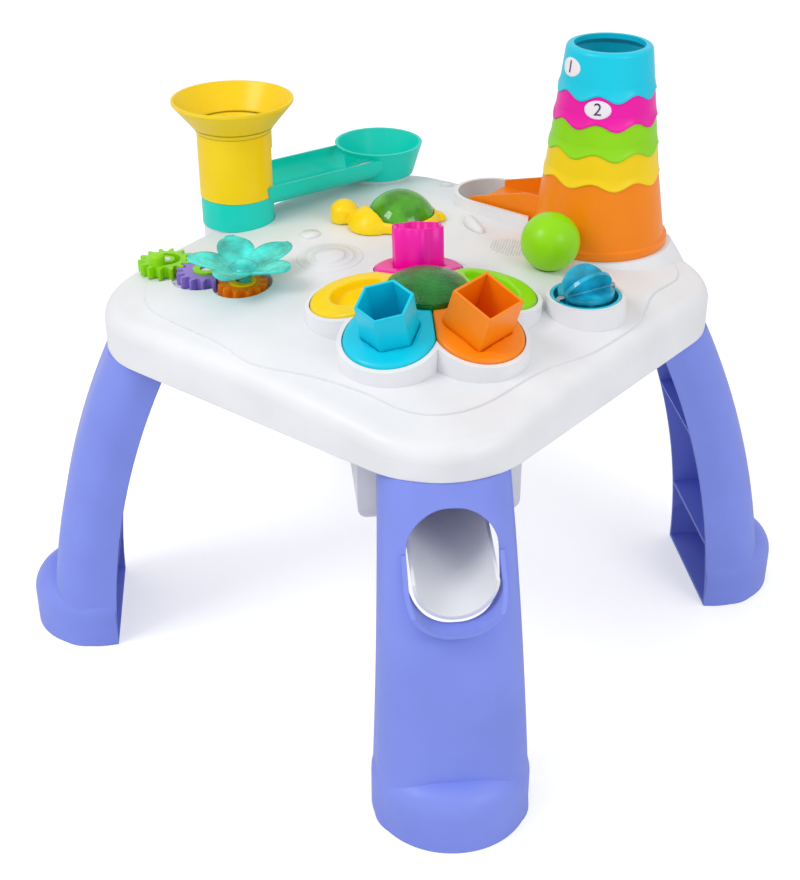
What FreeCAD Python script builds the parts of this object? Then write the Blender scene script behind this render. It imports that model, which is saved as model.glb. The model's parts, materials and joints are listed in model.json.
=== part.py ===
import FreeCAD, Part
import math
import os

os.makedirs("parts", exist_ok=True)
V = FreeCAD.Vector
UP = V(0, 0, 1)
ORIGIN = V(0, 0, 0)

# Table top: a rounded square with a crowned top. The near corner is at +X, -Y.
TOP_SIDE = 380.0
TOP_CORNER_R = 74.0
SKIRT_Z = 253.0
CROWN_Z = 308.0
CROWN_R = 1470.0
CROWN_X = -42.0
CROWN_Y = 42.0
TOP_EDGE_R = 13.0
SHELL_WALL = 3.0
PLATEAU_STEP = 1.4

# Fits
SLIDE_GAP = 0.4
SEAT_GAP = 0.3
SHAFT_GAP = 0.06
CUT_PAST = 1.0

# Legs: radial distances are along the table's diagonals
LEG_TOP_R = 237.0
LEG_MID_R = 281.0
LEG_MID_Z = 136.0
LEG_CREASE_R = 299.0
LEG_CREASE_Z = 46.0
LEG_FOOT_DEPTH = 49.0
LEG_MID_DEPTH = 45.0
LEG_MID_DROP = 14.0
LEG_TOP_DEPTH = 48.0
LEG_IN_FOOT_R = LEG_CREASE_R - LEG_FOOT_DEPTH
LEG_IN_MID_R = LEG_MID_R - LEG_MID_DEPTH
LEG_IN_MID_Z = LEG_MID_Z - LEG_MID_DROP
LEG_IN_TOP_R = LEG_TOP_R - LEG_TOP_DEPTH
LEG_HALF_TOP = 45.0
LEG_HALF_FOOT = 56.0
LEG_WALL = 3.0
LEG_EDGE_R = 30.0
TOE_R = 57.0
TOE_CENTRE_R = 263.0
TOE_H = 47.0
TOE_EDGE_R = 19.0
RIB_Z = [60.0, 166.0]
RIB_T = 3.0
TANG_H = 18.0
TANG_IN_R = 193.0
TANG_OUT_R = 216.0
TANG_HALF = 36.0

# Ball and its ways
BALL_R = 23.0
BALL_ROOM = BALL_R + 1.2
BALL_X = 82.7
BALL_Y = 70.0
DIMPLE_DEPTH = 2.0
DIMPLE_R = 26.0
WINDOW_HALF = 31.5
WINDOW_LOW_Z = 163.0
WINDOW_HIGH_Z = 237.0
WINDOW_CORNER_R = 29.0
LIP_OUT = 15.0
LIP_WALL = 3.4
LIP_TOP_Z = 205.0
CHUTE_WALL = 2.4
CHUTE_R = 27.0
CHUTE_START_R = 30.0
CHUTE_START_Z = 232.0
CHUTE_END_Z = 167.5
CHUTE_END_R = 272.0
CHUTE_SLOPE = (CHUTE_START_Z - CHUTE_END_Z) / (CHUTE_END_R - CHUTE_START_R)
HOUSING_HALF = 58.0
HOUSING_FRONT_R = 184.0
HOUSING_BACK_R = 24.0
HOUSING_EDGE_R = 16.0
HOUSING_Z = (CHUTE_START_Z - CHUTE_SLOPE * (HOUSING_FRONT_R - CHUTE_START_R)) - SHELL_WALL - SEAT_GAP

# Cup tower
CUP_X = 75.2
CUP_Y = 151.3
CUP_TOP_Z = 461.0
CUP_TOP_R = 33.4
CUP_TAPER = 0.12
CUP_WALL = 2.0
CUP_HOLE_R = 27.7
CUP_EDGE_Z = [428.5, 407.0, 384.0, 361.0]
CUP_NECK_H = 10.0
CUP_RIM_R = 4.0
WAVE_COUNT = 8
WAVE_R = 20.0
WAVE_DEPTH = 7.0
CUP_BASE_Z = 303.0
CUP_BASE_R = 54.6
CUP_LIP_H = 7.0
CUP_LIP_OUT = 1.6
PLINTH_OUT = 9.0
SPOUT_HALF = BALL_ROOM + 2.4
SPOUT_LENGTH = 110.0
SPOUT_DROP = 3.0
SPOUT_WALL = 2.4
SPOUT_SIDE_H = 16.0
SPOUT_Z = 318.0

# Oval ball basin on the top
BASIN_X0 = -30.0
BASIN_X1 = 62.0
BASIN_Y = 150.0
BASIN_HALF = 29.0
BASIN_WALL = 3.5
BASIN_RIM_Z = 317.0
BASIN_DEPTH = 4.0

# Funnel and ball track
FUNNEL_X = -178.0
FUNNEL_Y = -8.0
FUNNEL_RIM_Z = 407.0
FUNNEL_RIM_R = 49.5
FUNNEL_CONE_Z = 382.0
FUNNEL_TUBE_R = 30.6
FUNNEL_WALL = 2.2
RING_R = 30.0
RING_WALL = 2.6
RING_Z = 303.0
RING_TOP_Z = 327.0
RING_PAD_R = 29.0
PAD_H = 22.0
LOOP_PAD_R = 28.0
FUNNEL_SEAT = 8.0
TRACK_HALF = 27.0
TRACK_WALL = 2.4
TRACK_SIDE_H = 17.0
TRACK_START_Z = 319.0
TRACK_END_Z = 311.0
LOOP_X = -156.0
LOOP_Y = 150.0
LOOP_TOP_R = 39.0
LOOP_LOW_R = 31.0
LOOP_TOP_Z = 334.0
LOOP_FLOOR_Z = 309.5
LOOP_HOLE_R = 24.2

# Gears: the middle gear's place, then each neighbour at the meshing distance
GEAR_MODULE = 2.8
LIME_TEETH = 14
PURPLE_TEETH = 15
ORANGE_TEETH = 12
PURPLE_X = -122.4
PURPLE_Y = -101.5
LIME_TURN = 187.0
ORANGE_TURN = 2.0
GEAR_H = 9.0
GEAR_RECESS = 5.0
GEAR_RIM_GAP = 4.0
GEAR_BORE_R = 4.0
GEAR_POST_R = GEAR_BORE_R - SHAFT_GAP
GEAR_LIFT = 0.8
TOOTH_ADD = 0.85
TOOTH_DED = 1.15
TOOTH_ROOT_SHARE = 0.29
TOOTH_PITCH_SHARE = 0.205
TOOTH_TIP_SHARE = 0.11
LIME_RING_IN_R = 9.8
KNOB_R = 6.0
KNOB_H = 17.0
HUB_R = 10.5
HUB_H = 3.0
FLOWER_POST_R = 5.5
SPIN_PETALS = 5
SPIN_PETAL_R = 15.0
SPIN_PETAL_AT = 27.0
SPIN_PETAL_T = 4.5
SPIN_Z = 319.0
SPIN_RISE = 14.0
SPIN_HUB_R = 13.0

# Shape sorter: five lobes on a tilted cone
SORTER_X = 68.2
SORTER_Y = -66.5
SORTER_TILT = 4.8
SORTER_APEX_Z = 338.6
SORTER_SLOPE = 17.6
LOBE_AT = 53.0
LOBE_R = 33.5
LOBE_FIRST = 90.0
LOBE_COUNT = 5
LOBE_EDGE_R = 7.0
PETAL_SPLIT = 0.15
PETAL_H = 22.0
COLLAR_OUT_TOP = 4.0
COLLAR_OUT_FOOT = 7.5
COLLAR_LIP = 8.0
BLOCK_ACROSS = 42.0
BLOCK_WALL = 2.0
BLOCK_H = 38.0
BLOCK_OUT = 28.0
POCKET_FLOOR = 2.0
BUTTON_R = 29.0
BUTTON_RISE = 9.0
BUTTON_PROUD = 2.5
BUTTON_SKIRT = 8.0
BUTTON_WALL = 2.0
BUTTON_TRAVEL = 3.0
SPRING_WIRE_R = 0.7
SPRING_R = 11.0
SPRING_TURNS = 4.0

# Tumbling spinner beside the sorter
SPINNER_X = 141.4
SPINNER_Y = 31.0
SPINNER_RIM_R = 26.5
SPINNER_FOOT_R = 32.0
SPINNER_RIM_Z = 311.0
SPINNER_DISC_R = 21.0
SPINNER_DISC_T = 3.0
SPINNER_DISC_COUNT = 3
SPINNER_AXLE_Z = 313.0
SPINNER_TURN = 70.0
SPINNER_AXLE_R = 2.0
SPINNER_BOWL_WALL = 2.0
SPINNER_HALF = 20.0

# Turtle
TURTLE_X = -58.0
TURTLE_Y = 60.0
TURTLE_R = 31.0
TURTLE_DOME_R = 29.0
TURTLE_DOME_RISE = 27.0
TURTLE_BASE_H = 10.0
TURTLE_HEAD_AT = 47.0
TURTLE_HEAD_R = 10.5
TURTLE_HEAD_TURN = 212.0
TURTLE_CHEST_AT = 25.0
TURTLE_CHEST_R = 21.0
TURTLE_CHEST_TURN = 243.0
TURTLE_FOOT_R = 8.0
TURTLE_WALL = 2.0

# Electronics on the underside tray
TRAY_Z = 256.0
TRAY_T = 2.5
BOARD_X = -60.0
BOARD_Y = 40.0
BOARD_L = 90.0
BOARD_W = 60.0
BOARD_T = 1.6
BOARD_Z = 272.0
BOARD_STANDOFF_R = 3.5
SPEAKER_X = -60.0
SPEAKER_Y = -55.0
SPEAKER_R = 25.0
SPEAKER_H = 14.0
BATTERY_X = 65.0
BATTERY_Y = 95.0
BATTERY_R = 7.1
BATTERY_L = 50.0
BATTERY_COUNT = 3
BATTERY_GAP = 0.6
BOX_WALL = 2.0
DOOR_T = 2.5
SCREW_R = 1.5
SCREW_HEAD_R = 3.0
SCREW_HEAD_H = 2.0
SWITCH_X = -130.0
SWITCH_Y = 60.0
SWITCH_L = 12.0
SWITCH_W = 7.0
SWITCH_T = 5.0
SWITCH_TRAVEL = 5.0
BOSS_R = 5.0
CASING_SCREWS = [(-140, 0), (0, -140), (152, -32), (0, 95), (-165, -50), (-100, 110)]
SCREW_L = 12.0
NUB_L = 1.2
LED_R = 2.5
LED_AT = 5.0
LED_COUNT = 3
STAR_TIPS = 6
STAR_WAIST = 0.80
HEX_TURN = 10.0
SQUARE_TURN = 50.0
SQUARE_REACH = 1.2
OVAL_HALF = 6.0
SORTER_TURN = 45.0
TURTLE_FOOT_TURNS = [110.0, 200.0, -60.0]
LEG_TURNS = {"front_leg": -45.0, "right_leg": 45.0, "back_leg": 135.0, "left_leg": 225.0}
PETALS = {"pink": "star", "yellow": "round", "blue": "hexagon", "orange": "square", "lime": "oval"}
BLOCKS = ["star", "hexagon", "square"]
CUPS = ["cup_blue", "cup_pink", "cup_lime", "cup_yellow"]

# Wavy outline of the plateau, as points that a smooth curve passes through
WAVE_POINTS = [
    (-110, -166), (-60, -171), (-36, -173), (0, -179), (34, -170), (68, -162), (95, -159),
    (122, -157), (142, -145), (154, -126), (160, -100), (162, -76), (168, -46), (177, -16),
    (179, 16), (178, 48), (161, 100), (158, 140), (140, 162), (80, 172), (0, 174), (-80, 174),
    (-140, 164), (-164, 130), (-172, 60), (-172, 0), (-170, -70), (-150, -140),
]


def dz(x, y):
    """Height of the crowned top's outer surface above the floor at x, y."""
    away = (x - CROWN_X) ** 2 + (y - CROWN_Y) ** 2
    return CROWN_Z - CROWN_R + math.sqrt(CROWN_R ** 2 - away)


def disc(x, y, z, r, h):
    return Part.makeCylinder(r, h, V(x, y, z))


def ring(x, y, z, r_out, r_in, h):
    return disc(x, y, z, r_out, h).cut(disc(x, y, z - CUT_PAST, r_in, h + 2 * CUT_PAST))


def block(x0, y0, z0, x1, y1, z1):
    return Part.makeBox(x1 - x0, y1 - y0, z1 - z0, V(x0, y0, z0))


def turned(points, x, y):
    """Revolve a closed outline of (radius, height) points about the vertical at x, y."""
    corners = [V(r, 0, z) for r, z in points]
    face = Part.Face(Part.makePolygon(corners + corners[:1]))
    body = face.revolve(ORIGIN, UP, 360)
    body.translate(V(x, y, 0))
    return body


def dome(x, y, z, r, rise):
    """Solid cap of a sphere that stands on a circle of radius r."""
    ball_r = (r * r + rise * rise) / (2 * rise)
    ball = Part.makeSphere(ball_r, V(x, y, z + rise - ball_r))
    return ball.common(disc(x, y, z, r + CUT_PAST, rise + CUT_PAST))


def prism(points, z, h):
    corners = [V(px, py, z) for px, py in points]
    return Part.Face(Part.makePolygon(corners + corners[:1])).extrude(V(0, 0, h))


def capsule(x0, x1, y, z, half, h):
    body = block(x0, y - half, z, x1, y + half, z + h)
    return body.fuse([disc(x0, y, z, half, h), disc(x1, y, z, half, h)]).removeSplitter()


def spin(shape, degrees, x=0.0, y=0.0):
    copy = shape.copy()
    copy.rotate(V(x, y, 0), UP, degrees)
    return copy


def save(name, shape):
    shape.exportStep("parts/" + name + ".step")


def fillet_where(shape, radius, wanted):
    edges = [edge for edge in shape.Edges if wanted(edge)]
    return shape.makeFillet(radius, edges)


def rounded_square(inset, z, h):
    half = TOP_SIDE / 2 - inset
    body = block(-half, -half, z, half, half, z + h)
    return fillet_where(body, TOP_CORNER_R - inset, lambda e: abs(e.BoundBox.ZLength - h) < CUT_PAST)


def crown_ball(inset):
    """Ball whose top is the crown, turned so that its poles and seam stay away from the table."""
    ball = Part.makeSphere(CROWN_R - inset)
    ball.rotate(ORIGIN, V(0, 1, 0), 90)
    ball.translate(V(CROWN_X, CROWN_Y, CROWN_Z - CROWN_R))
    return ball


# Table top
def crowned_slab(inset, z):
    body = rounded_square(inset, z, CROWN_Z + TOP_EDGE_R - z).common(crown_ball(inset))
    return fillet_where(body, TOP_EDGE_R - inset, lambda e: e.BoundBox.ZMin > z + TOP_EDGE_R)


def plateau():
    curve = Part.BSplineCurve()
    curve.interpolate([V(x, y, SKIRT_Z + TOP_EDGE_R) for x, y in WAVE_POINTS], True)
    column = Part.Face(Part.Wire(curve.toShape())).extrude(V(0, 0, CROWN_Z))
    hollow = crown_ball(SHELL_WALL / 2)
    return column.common(crown_ball(-PLATEAU_STEP)).cut(hollow)


def sorter_place(shape):
    """Set a shape that is modelled about the sorter's apex at its tilted place."""
    copy = shape.copy()
    copy.rotate(ORIGIN, V(1, 0, 0), SORTER_TILT)
    copy.rotate(ORIGIN, UP, SORTER_TURN)
    copy.translate(V(SORTER_X, SORTER_Y, SORTER_APEX_Z))
    return copy


SLOPE_TAN = math.tan(math.radians(SORTER_SLOPE))
LOBE_REACH = LOBE_AT + LOBE_R
LOBE_TURNS = [LOBE_FIRST + 360 / LOBE_COUNT * k for k in range(LOBE_COUNT)]


def polar(radius, degrees):
    turn = math.radians(degrees)
    return radius * math.cos(turn), radius * math.sin(turn)


def lobes(grow, z0, z1):
    """Five-lobed column in the sorter's own frame, grown outwards by a margin."""
    body = disc(0, 0, z0, LOBE_AT, z1 - z0)
    columns = []
    for turn in LOBE_TURNS:
        cx, cy = polar(LOBE_AT, turn)
        columns.append(spin(disc(cx, cy, z0, LOBE_R + grow, z1 - z0), turn + 180, cx, cy))
    return body.fuse(columns).removeSplitter()


def cone_cap(lift):
    """Everything under the sorter's cone, raised by lift."""
    reach = LOBE_REACH * 2
    low = -SLOPE_TAN * reach + lift
    return turned([(0, low - PETAL_H * 3), (reach, low - PETAL_H * 3), (reach, low), (0, lift)], 0, 0)


COLLAR_LOW = -SORTER_APEX_Z + SKIRT_Z + TOP_EDGE_R
PETAL_LOW = -SLOPE_TAN * LOBE_REACH - PETAL_H + 2 * LOBE_EDGE_R


def collar():
    foot = PETAL_LOW - COLLAR_LIP
    outside = lobes(COLLAR_OUT_TOP, COLLAR_LOW, CUT_PAST).common(cone_cap(-COLLAR_LIP / 4))
    hollow = lobes(SLIDE_GAP, PETAL_LOW - SEAT_GAP, CUT_PAST * 2)
    skirt = lobes(COLLAR_OUT_FOOT, COLLAR_LOW, foot)
    return outside.cut(hollow).fuse(skirt)


def spinner_collar():
    low = SKIRT_Z + TOP_EDGE_R
    rim = SPINNER_RIM_R + SHELL_WALL
    return turned([(0, low), (SPINNER_FOOT_R, low), (rim, SPINNER_RIM_Z), (0, SPINNER_RIM_Z)], SPINNER_X, SPINNER_Y)


def gear_places():
    lime_at = GEAR_MODULE * (LIME_TEETH + PURPLE_TEETH) / 2
    orange_at = GEAR_MODULE * (ORANGE_TEETH + PURPLE_TEETH) / 2
    lx, ly = polar(lime_at, LIME_TURN)
    ox, oy = polar(orange_at, ORANGE_TURN)
    return [(PURPLE_X + lx, PURPLE_Y + ly, LIME_TEETH), (PURPLE_X, PURPLE_Y, PURPLE_TEETH),
            (PURPLE_X + ox, PURPLE_Y + oy, ORANGE_TEETH)]


GEARS = gear_places()
GEAR_FLOOR_Z = dz(PURPLE_X, PURPLE_Y) - GEAR_RECESS
GEAR_Z = GEAR_FLOOR_Z + GEAR_LIFT


def tip_r(teeth):
    return GEAR_MODULE * (teeth / 2 + TOOTH_ADD)


def gear_recess(grow, z):
    wells = [disc(x, y, z, tip_r(teeth) + GEAR_RIM_GAP + grow, CROWN_Z) for x, y, teeth in GEARS]
    return wells[0].fuse(wells[1:]).removeSplitter()


def gear_posts():
    posts = []
    for x, y, teeth in GEARS:
        posts.append(disc(x, y, GEAR_FLOOR_Z - CUT_PAST, GEAR_POST_R, GEAR_LIFT + GEAR_H + CUT_PAST))
        foot = disc(x, y, GEAR_FLOOR_Z - CUT_PAST, GEAR_POST_R + HUB_H, GEAR_LIFT - SEAT_GAP + CUT_PAST)
        posts.append(foot)
    return posts


SPINNER_BOWL_R = SPINNER_RIM_R - SLIDE_GAP


def spinner_well(grow, deeper):
    """The round hollow that the spinner's bowl sits in."""
    low = SPINNER_AXLE_Z - SPINNER_DISC_R - SPINNER_BOWL_WALL - 2 * SEAT_GAP - deeper
    return disc(SPINNER_X, SPINNER_Y, low, SPINNER_BOWL_R + grow, CROWN_Z)


def tabletop():
    body = crowned_slab(0, SKIRT_Z).fuse(plateau())
    cup_plinth = turned([(0, TRAY_Z + SHELL_WALL), (CUP_BASE_R + 2 * PLINTH_OUT, TRAY_Z + SHELL_WALL),
                         (CUP_BASE_R + 2 * PLINTH_OUT, CUP_BASE_Z - 2 * PLINTH_OUT),
                         (CUP_BASE_R + CUP_LIP_OUT + SLIDE_GAP + PLINTH_OUT / 3, CUP_BASE_Z - SEAT_GAP),
                         (0, CUP_BASE_Z - SEAT_GAP)], CUP_X, CUP_Y)
    cup_plinth = cup_plinth.common(rounded_square(0, SKIRT_Z, CROWN_Z))
    basin_ring = capsule(BASIN_X0, BASIN_X1, BASIN_Y, TRAY_Z + SHELL_WALL, BASIN_HALF + BASIN_WALL,
                         BASIN_RIM_Z - TRAY_Z - SHELL_WALL)
    pad_low = RING_Z - PAD_H
    ring_pad = disc(FUNNEL_X, FUNNEL_Y, pad_low, RING_PAD_R, RING_Z - SEAT_GAP - pad_low)
    loop_pad = disc(LOOP_X, LOOP_Y, pad_low, LOOP_PAD_R, LOOP_FLOOR_Z - TRACK_WALL - SEAT_GAP - pad_low)
    loop_pad = loop_pad.cut(disc(LOOP_X, LOOP_Y, dz(LOOP_X, LOOP_Y), LOOP_HOLE_R, CROWN_Z))
    for raised in (spinner_collar(), sorter_place(collar()), cup_plinth, basin_ring, ring_pad, loop_pad):
        body = body.fuse(raised)
    hollow = crowned_slab(SHELL_WALL, SKIRT_Z - CUT_PAST)
    guard = gear_recess(SHELL_WALL, GEAR_FLOOR_Z - SHELL_WALL)
    basin_floor = dz(CUP_X, BASIN_Y) - BASIN_DEPTH
    basin_guard = capsule(BASIN_X0, BASIN_X1, BASIN_Y, basin_floor - SHELL_WALL, BASIN_HALF + BASIN_WALL, CROWN_Z)
    hollow = hollow.cut(guard).cut(basin_guard).cut(spinner_well(SHELL_WALL, SHELL_WALL))
    body = body.cut(hollow)
    basin = capsule(BASIN_X0, BASIN_X1, BASIN_Y, basin_floor, BASIN_HALF, CROWN_Z)
    kept = CUP_BASE_Z - SEAT_GAP - basin_floor + CUT_PAST
    basin = basin.cut(disc(CUP_X, CUP_Y, basin_floor - CUT_PAST, CUP_BASE_R + CUP_LIP_OUT + PLINTH_OUT / 3, kept))
    body = body.cut(basin)
    body = body.cut(gear_recess(0, GEAR_FLOOR_Z))
    body = body.cut(spinner_well(SLIDE_GAP, 0))
    body = body.cut(disc(FUNNEL_X, FUNNEL_Y, RING_Z - SEAT_GAP, RING_R + SLIDE_GAP, CROWN_Z))
    body = body.cut(disc(CUP_X, CUP_Y, CUP_BASE_Z - SEAT_GAP, CUP_BASE_R + CUP_LIP_OUT + SLIDE_GAP, CROWN_Z))
    ball_low = dz(BALL_X, BALL_Y) + PLATEAU_STEP - DIMPLE_DEPTH
    body = body.cut(Part.makeSphere(DIMPLE_R, V(BALL_X, BALL_Y, ball_low + DIMPLE_R)))
    body = body.fuse(gear_posts())
    return body.removeSplitter()


# Legs, modelled along +X and turned to their corners
def leg_side(inset):
    """Side view of a leg between its outer and inner arcs, as a solid across the whole width."""
    wide = TOE_R * 2
    low = -CUT_PAST if inset else 0.0
    top_out = V(LEG_TOP_R - inset, -wide, SKIRT_Z - SEAT_GAP)
    mid_out = V(LEG_MID_R - inset, -wide, LEG_MID_Z)
    crease = V(LEG_CREASE_R - inset, -wide, LEG_CREASE_Z)
    foot_out = V(LEG_CREASE_R - inset, -wide, low)
    reach_in = inset * LEG_IN_FOOT_R / 4
    foot_in = V(LEG_IN_FOOT_R - reach_in, -wide, low)
    mid_in = V(LEG_IN_MID_R - reach_in, -wide, LEG_IN_MID_Z)
    top_in = V(LEG_IN_TOP_R - reach_in, -wide, SKIRT_Z - SEAT_GAP)
    edges = [Part.Arc(top_out, mid_out, crease).toShape(), Part.makeLine(crease, foot_out),
             Part.makeLine(foot_out, foot_in), Part.Arc(foot_in, mid_in, top_in).toShape(),
             Part.makeLine(top_in, top_out)]
    return Part.Face(Part.Wire(edges)).extrude(V(0, 2 * wide, 0))


def leg_front(inset):
    """Front view of a leg, narrow at the top and wide at the foot."""
    top = LEG_HALF_TOP - inset
    foot = LEG_HALF_FOOT - inset
    far = LEG_CREASE_R * 2
    corners = [V(0, -foot, -CUT_PAST), V(0, foot, -CUT_PAST), V(0, top, SKIRT_Z), V(0, -top, SKIRT_Z)]
    return Part.Face(Part.makePolygon(corners + corners[:1])).extrude(V(far, 0, 0))


def toe(inset, z):
    body = disc(TOE_CENTRE_R, 0, z, TOE_R - inset, TOE_H - inset - z)
    body = fillet_where(body, TOE_EDGE_R - inset, lambda e: e.BoundBox.ZMin > TOE_H - TOE_EDGE_R)
    back = LEG_IN_FOOT_R if not inset else 0.0
    return body.common(block(back, -TOE_R, z - CUT_PAST, LEG_CREASE_R * 2, TOE_R, TOE_H))


def long_outer_edge(edge):
    box = edge.BoundBox
    return box.ZLength > SKIRT_Z / 2 and box.XMax > LEG_CREASE_R - CUT_PAST


def leg_casing():
    solid = leg_side(0).common(leg_front(0))
    solid = fillet_where(solid, LEG_EDGE_R, long_outer_edge)
    body = solid.fuse(toe(0, 0))
    hollow = leg_side(LEG_WALL).common(leg_front(LEG_WALL))
    hollow = fillet_where(hollow, LEG_EDGE_R - LEG_WALL, long_hollow_edge)
    low = block(0, -TOE_R, -CUT_PAST, LEG_CREASE_R * 2, TOE_R, LEG_WALL)
    top = block(0, -TOE_R, SKIRT_Z - SEAT_GAP - LEG_WALL, LEG_CREASE_R * 2, TOE_R, SKIRT_Z + CUT_PAST)
    hollow = hollow.fuse(toe(LEG_WALL, LEG_WALL)).cut(low).cut(top)
    body = body.cut(hollow)
    ribs = [block(0, -TOE_R, z, LEG_CREASE_R * 2, TOE_R, z + RIB_T).common(solid) for z in RIB_Z]
    tang_low = SKIRT_Z - LEG_WALL
    tang = block(TANG_IN_R, -TANG_HALF, tang_low, TANG_OUT_R, TANG_HALF, SKIRT_Z + TANG_H)
    core = block(TANG_IN_R + LEG_WALL, -TANG_HALF + LEG_WALL, tang_low - CUT_PAST, TANG_OUT_R - LEG_WALL,
                 TANG_HALF - LEG_WALL, SKIRT_Z + TANG_H + CUT_PAST)
    return body, ribs, tang.cut(core)


def long_hollow_edge(edge):
    box = edge.BoundBox
    return box.ZLength > SKIRT_Z / 2 and box.XMax > LEG_CREASE_R - LEG_WALL - CUT_PAST


def side_leg():
    body, ribs, tang = leg_casing()
    return body.fuse(ribs + [tang]).removeSplitter()


def window(grow, x0, x1):
    """Upright stadium through the front leg's face, as a solid between two radial distances."""
    half = WINDOW_HALF + grow
    low = WINDOW_LOW_Z - grow
    high = WINDOW_HIGH_Z + grow
    box = block(x0, -half, low, x1, half, high)
    return fillet_where(box, WINDOW_CORNER_R + grow, lambda e: abs(e.BoundBox.XLength - (x1 - x0)) < CUT_PAST)


def front_leg():
    body, ribs, tang = leg_casing()
    body = body.fuse([ribs[0]] + [tang])
    lip_in = LEG_IN_MID_R
    lip_out = LEG_MID_R + LIP_OUT
    lip = window(LIP_WALL, lip_in, lip_out).cut(window(0, lip_in - CUT_PAST, lip_out + CUT_PAST))
    slope = prism([(lip_in - CUT_PAST, LIP_TOP_Z + LIP_OUT), (LEG_TOP_R + LIP_OUT / 3, LIP_TOP_Z + LIP_OUT),
                   (LEG_MID_R + LIP_OUT / 4, WINDOW_LOW_Z + LIP_OUT),
                   (LEG_MID_R + LIP_OUT / 4, WINDOW_LOW_Z - LIP_OUT),
                   (lip_in - CUT_PAST, WINDOW_LOW_Z - LIP_OUT)], -TOE_R, 2 * TOE_R)
    slope.rotate(ORIGIN, V(1, 0, 0), 90)
    inner = leg_side(LEG_WALL)
    lip = lip.common(slope).cut(inner)
    body = body.cut(window(0, LEG_IN_MID_R - LEG_WALL, LEG_CREASE_R * 2))
    return body.fuse(lip).removeSplitter()


# Underside
def tray():
    body = rounded_square(SHELL_WALL + SLIDE_GAP, TRAY_Z, TRAY_T)
    cut = []
    for turn in LEG_TURNS.values():
        hole = block(TANG_IN_R - SLIDE_GAP, -TANG_HALF - SLIDE_GAP, SKIRT_Z, TANG_OUT_R + SLIDE_GAP,
                     TANG_HALF + SLIDE_GAP, CROWN_Z)
        cut.append(spin(hole, turn))
    housing = block(HOUSING_BACK_R, -HOUSING_HALF, HOUSING_Z, HOUSING_FRONT_R, HOUSING_HALF, TRAY_Z + TRAY_T)
    housing = fillet_where(housing, HOUSING_EDGE_R, lambda e: e.BoundBox.ZMax < TRAY_Z)
    inside = block(HOUSING_BACK_R + SHELL_WALL, -HOUSING_HALF + SHELL_WALL, HOUSING_Z + SHELL_WALL,
                   HOUSING_FRONT_R - SHELL_WALL, HOUSING_HALF - SHELL_WALL, TRAY_Z + TRAY_T + CUT_PAST)
    inside = fillet_where(inside, HOUSING_EDGE_R - SHELL_WALL, lambda e: e.BoundBox.ZMax < TRAY_Z)
    way_half = CHUTE_R + CHUTE_WALL + SLIDE_GAP
    way = block(HOUSING_FRONT_R - HOUSING_EDGE_R, -way_half, HOUSING_Z + SHELL_WALL,
                HOUSING_FRONT_R + HOUSING_EDGE_R, way_half, TRAY_Z - CUT_PAST)
    inside = inside.fuse(way)
    front = LEG_TURNS["front_leg"]
    body = body.fuse(spin(housing, front)).cut(spin(inside, front))
    box = battery_walls(BOX_WALL)
    body = body.fuse(box).cut(battery_walls(0))
    body = body.cut(switch_slot())
    return body.cut(cut[0].fuse(cut[1:])).removeSplitter()


def battery_walls(grow):
    half_l = BATTERY_L / 2 + BATTERY_GAP + BATTERY_GAP + grow
    half_w = BATTERY_COUNT * (BATTERY_R + BATTERY_GAP) + grow
    low = TRAY_Z if grow else TRAY_Z - CUT_PAST
    high = TRAY_Z + DOOR_T + 2 * BATTERY_R + 2 * BATTERY_GAP + grow
    return block(BATTERY_X - half_l, BATTERY_Y - half_w, low, BATTERY_X + half_l, BATTERY_Y + half_w, high)


def battery_door():
    half_l = BATTERY_L / 2 + 2 * BATTERY_GAP - SEAT_GAP
    half_w = BATTERY_COUNT * (BATTERY_R + BATTERY_GAP) - SEAT_GAP
    return block(BATTERY_X - half_l, BATTERY_Y - half_w, TRAY_Z, BATTERY_X + half_l, BATTERY_Y + half_w,
                 TRAY_Z + DOOR_T - SEAT_GAP)


def switch_slot():
    half = SWITCH_L / 2
    return block(SWITCH_X - half, SWITCH_Y - SWITCH_W / 2, TRAY_Z - CUT_PAST,
                 SWITCH_X + half + SWITCH_TRAVEL, SWITCH_Y + SWITCH_W / 2, TRAY_Z + TRAY_T + CUT_PAST)


# Ball chute behind the window
def chute():
    """Round-bottomed trough on a slope, from under the top to the front leg's window."""
    run = CHUTE_END_R - CHUTE_START_R
    drop = CHUTE_START_Z - CHUTE_END_Z
    outer_r = CHUTE_R + CHUTE_WALL
    outer = Part.makeCylinder(outer_r, 2 * run, V(CHUTE_START_R - run / 2, 0, CHUTE_START_Z + drop / 2 + outer_r),
                              V(run, 0, -drop))
    inner = Part.makeCylinder(CHUTE_R, 2 * run, V(CHUTE_START_R - run / 2, 0, CHUTE_START_Z + drop / 2 + outer_r),
                              V(run, 0, -drop))
    low = outer_r * math.cos(math.atan2(drop, run))
    half_space = prism([(CHUTE_START_R, 0), (CHUTE_END_R, 0), (CHUTE_END_R, CHUTE_END_Z + low),
                        (CHUTE_START_R, CHUTE_START_Z + low)], -outer_r, 2 * outer_r)
    half_space.rotate(ORIGIN, V(1, 0, 0), 90)
    trough = outer.common(half_space)
    return trough.cut(inner)


# Cup tower
def cup_r(z):
    """Outer radius of the tower at a height."""
    if z >= CUP_EDGE_Z[-1]:
        return CUP_TOP_R + CUP_TAPER * (CUP_TOP_Z - z)
    edge_r = CUP_TOP_R + CUP_TAPER * (CUP_TOP_Z - CUP_EDGE_Z[-1])
    share = (CUP_EDGE_Z[-1] - z) / (CUP_EDGE_Z[-1] - CUP_BASE_Z)
    return edge_r + (CUP_BASE_R - edge_r) * share


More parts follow.
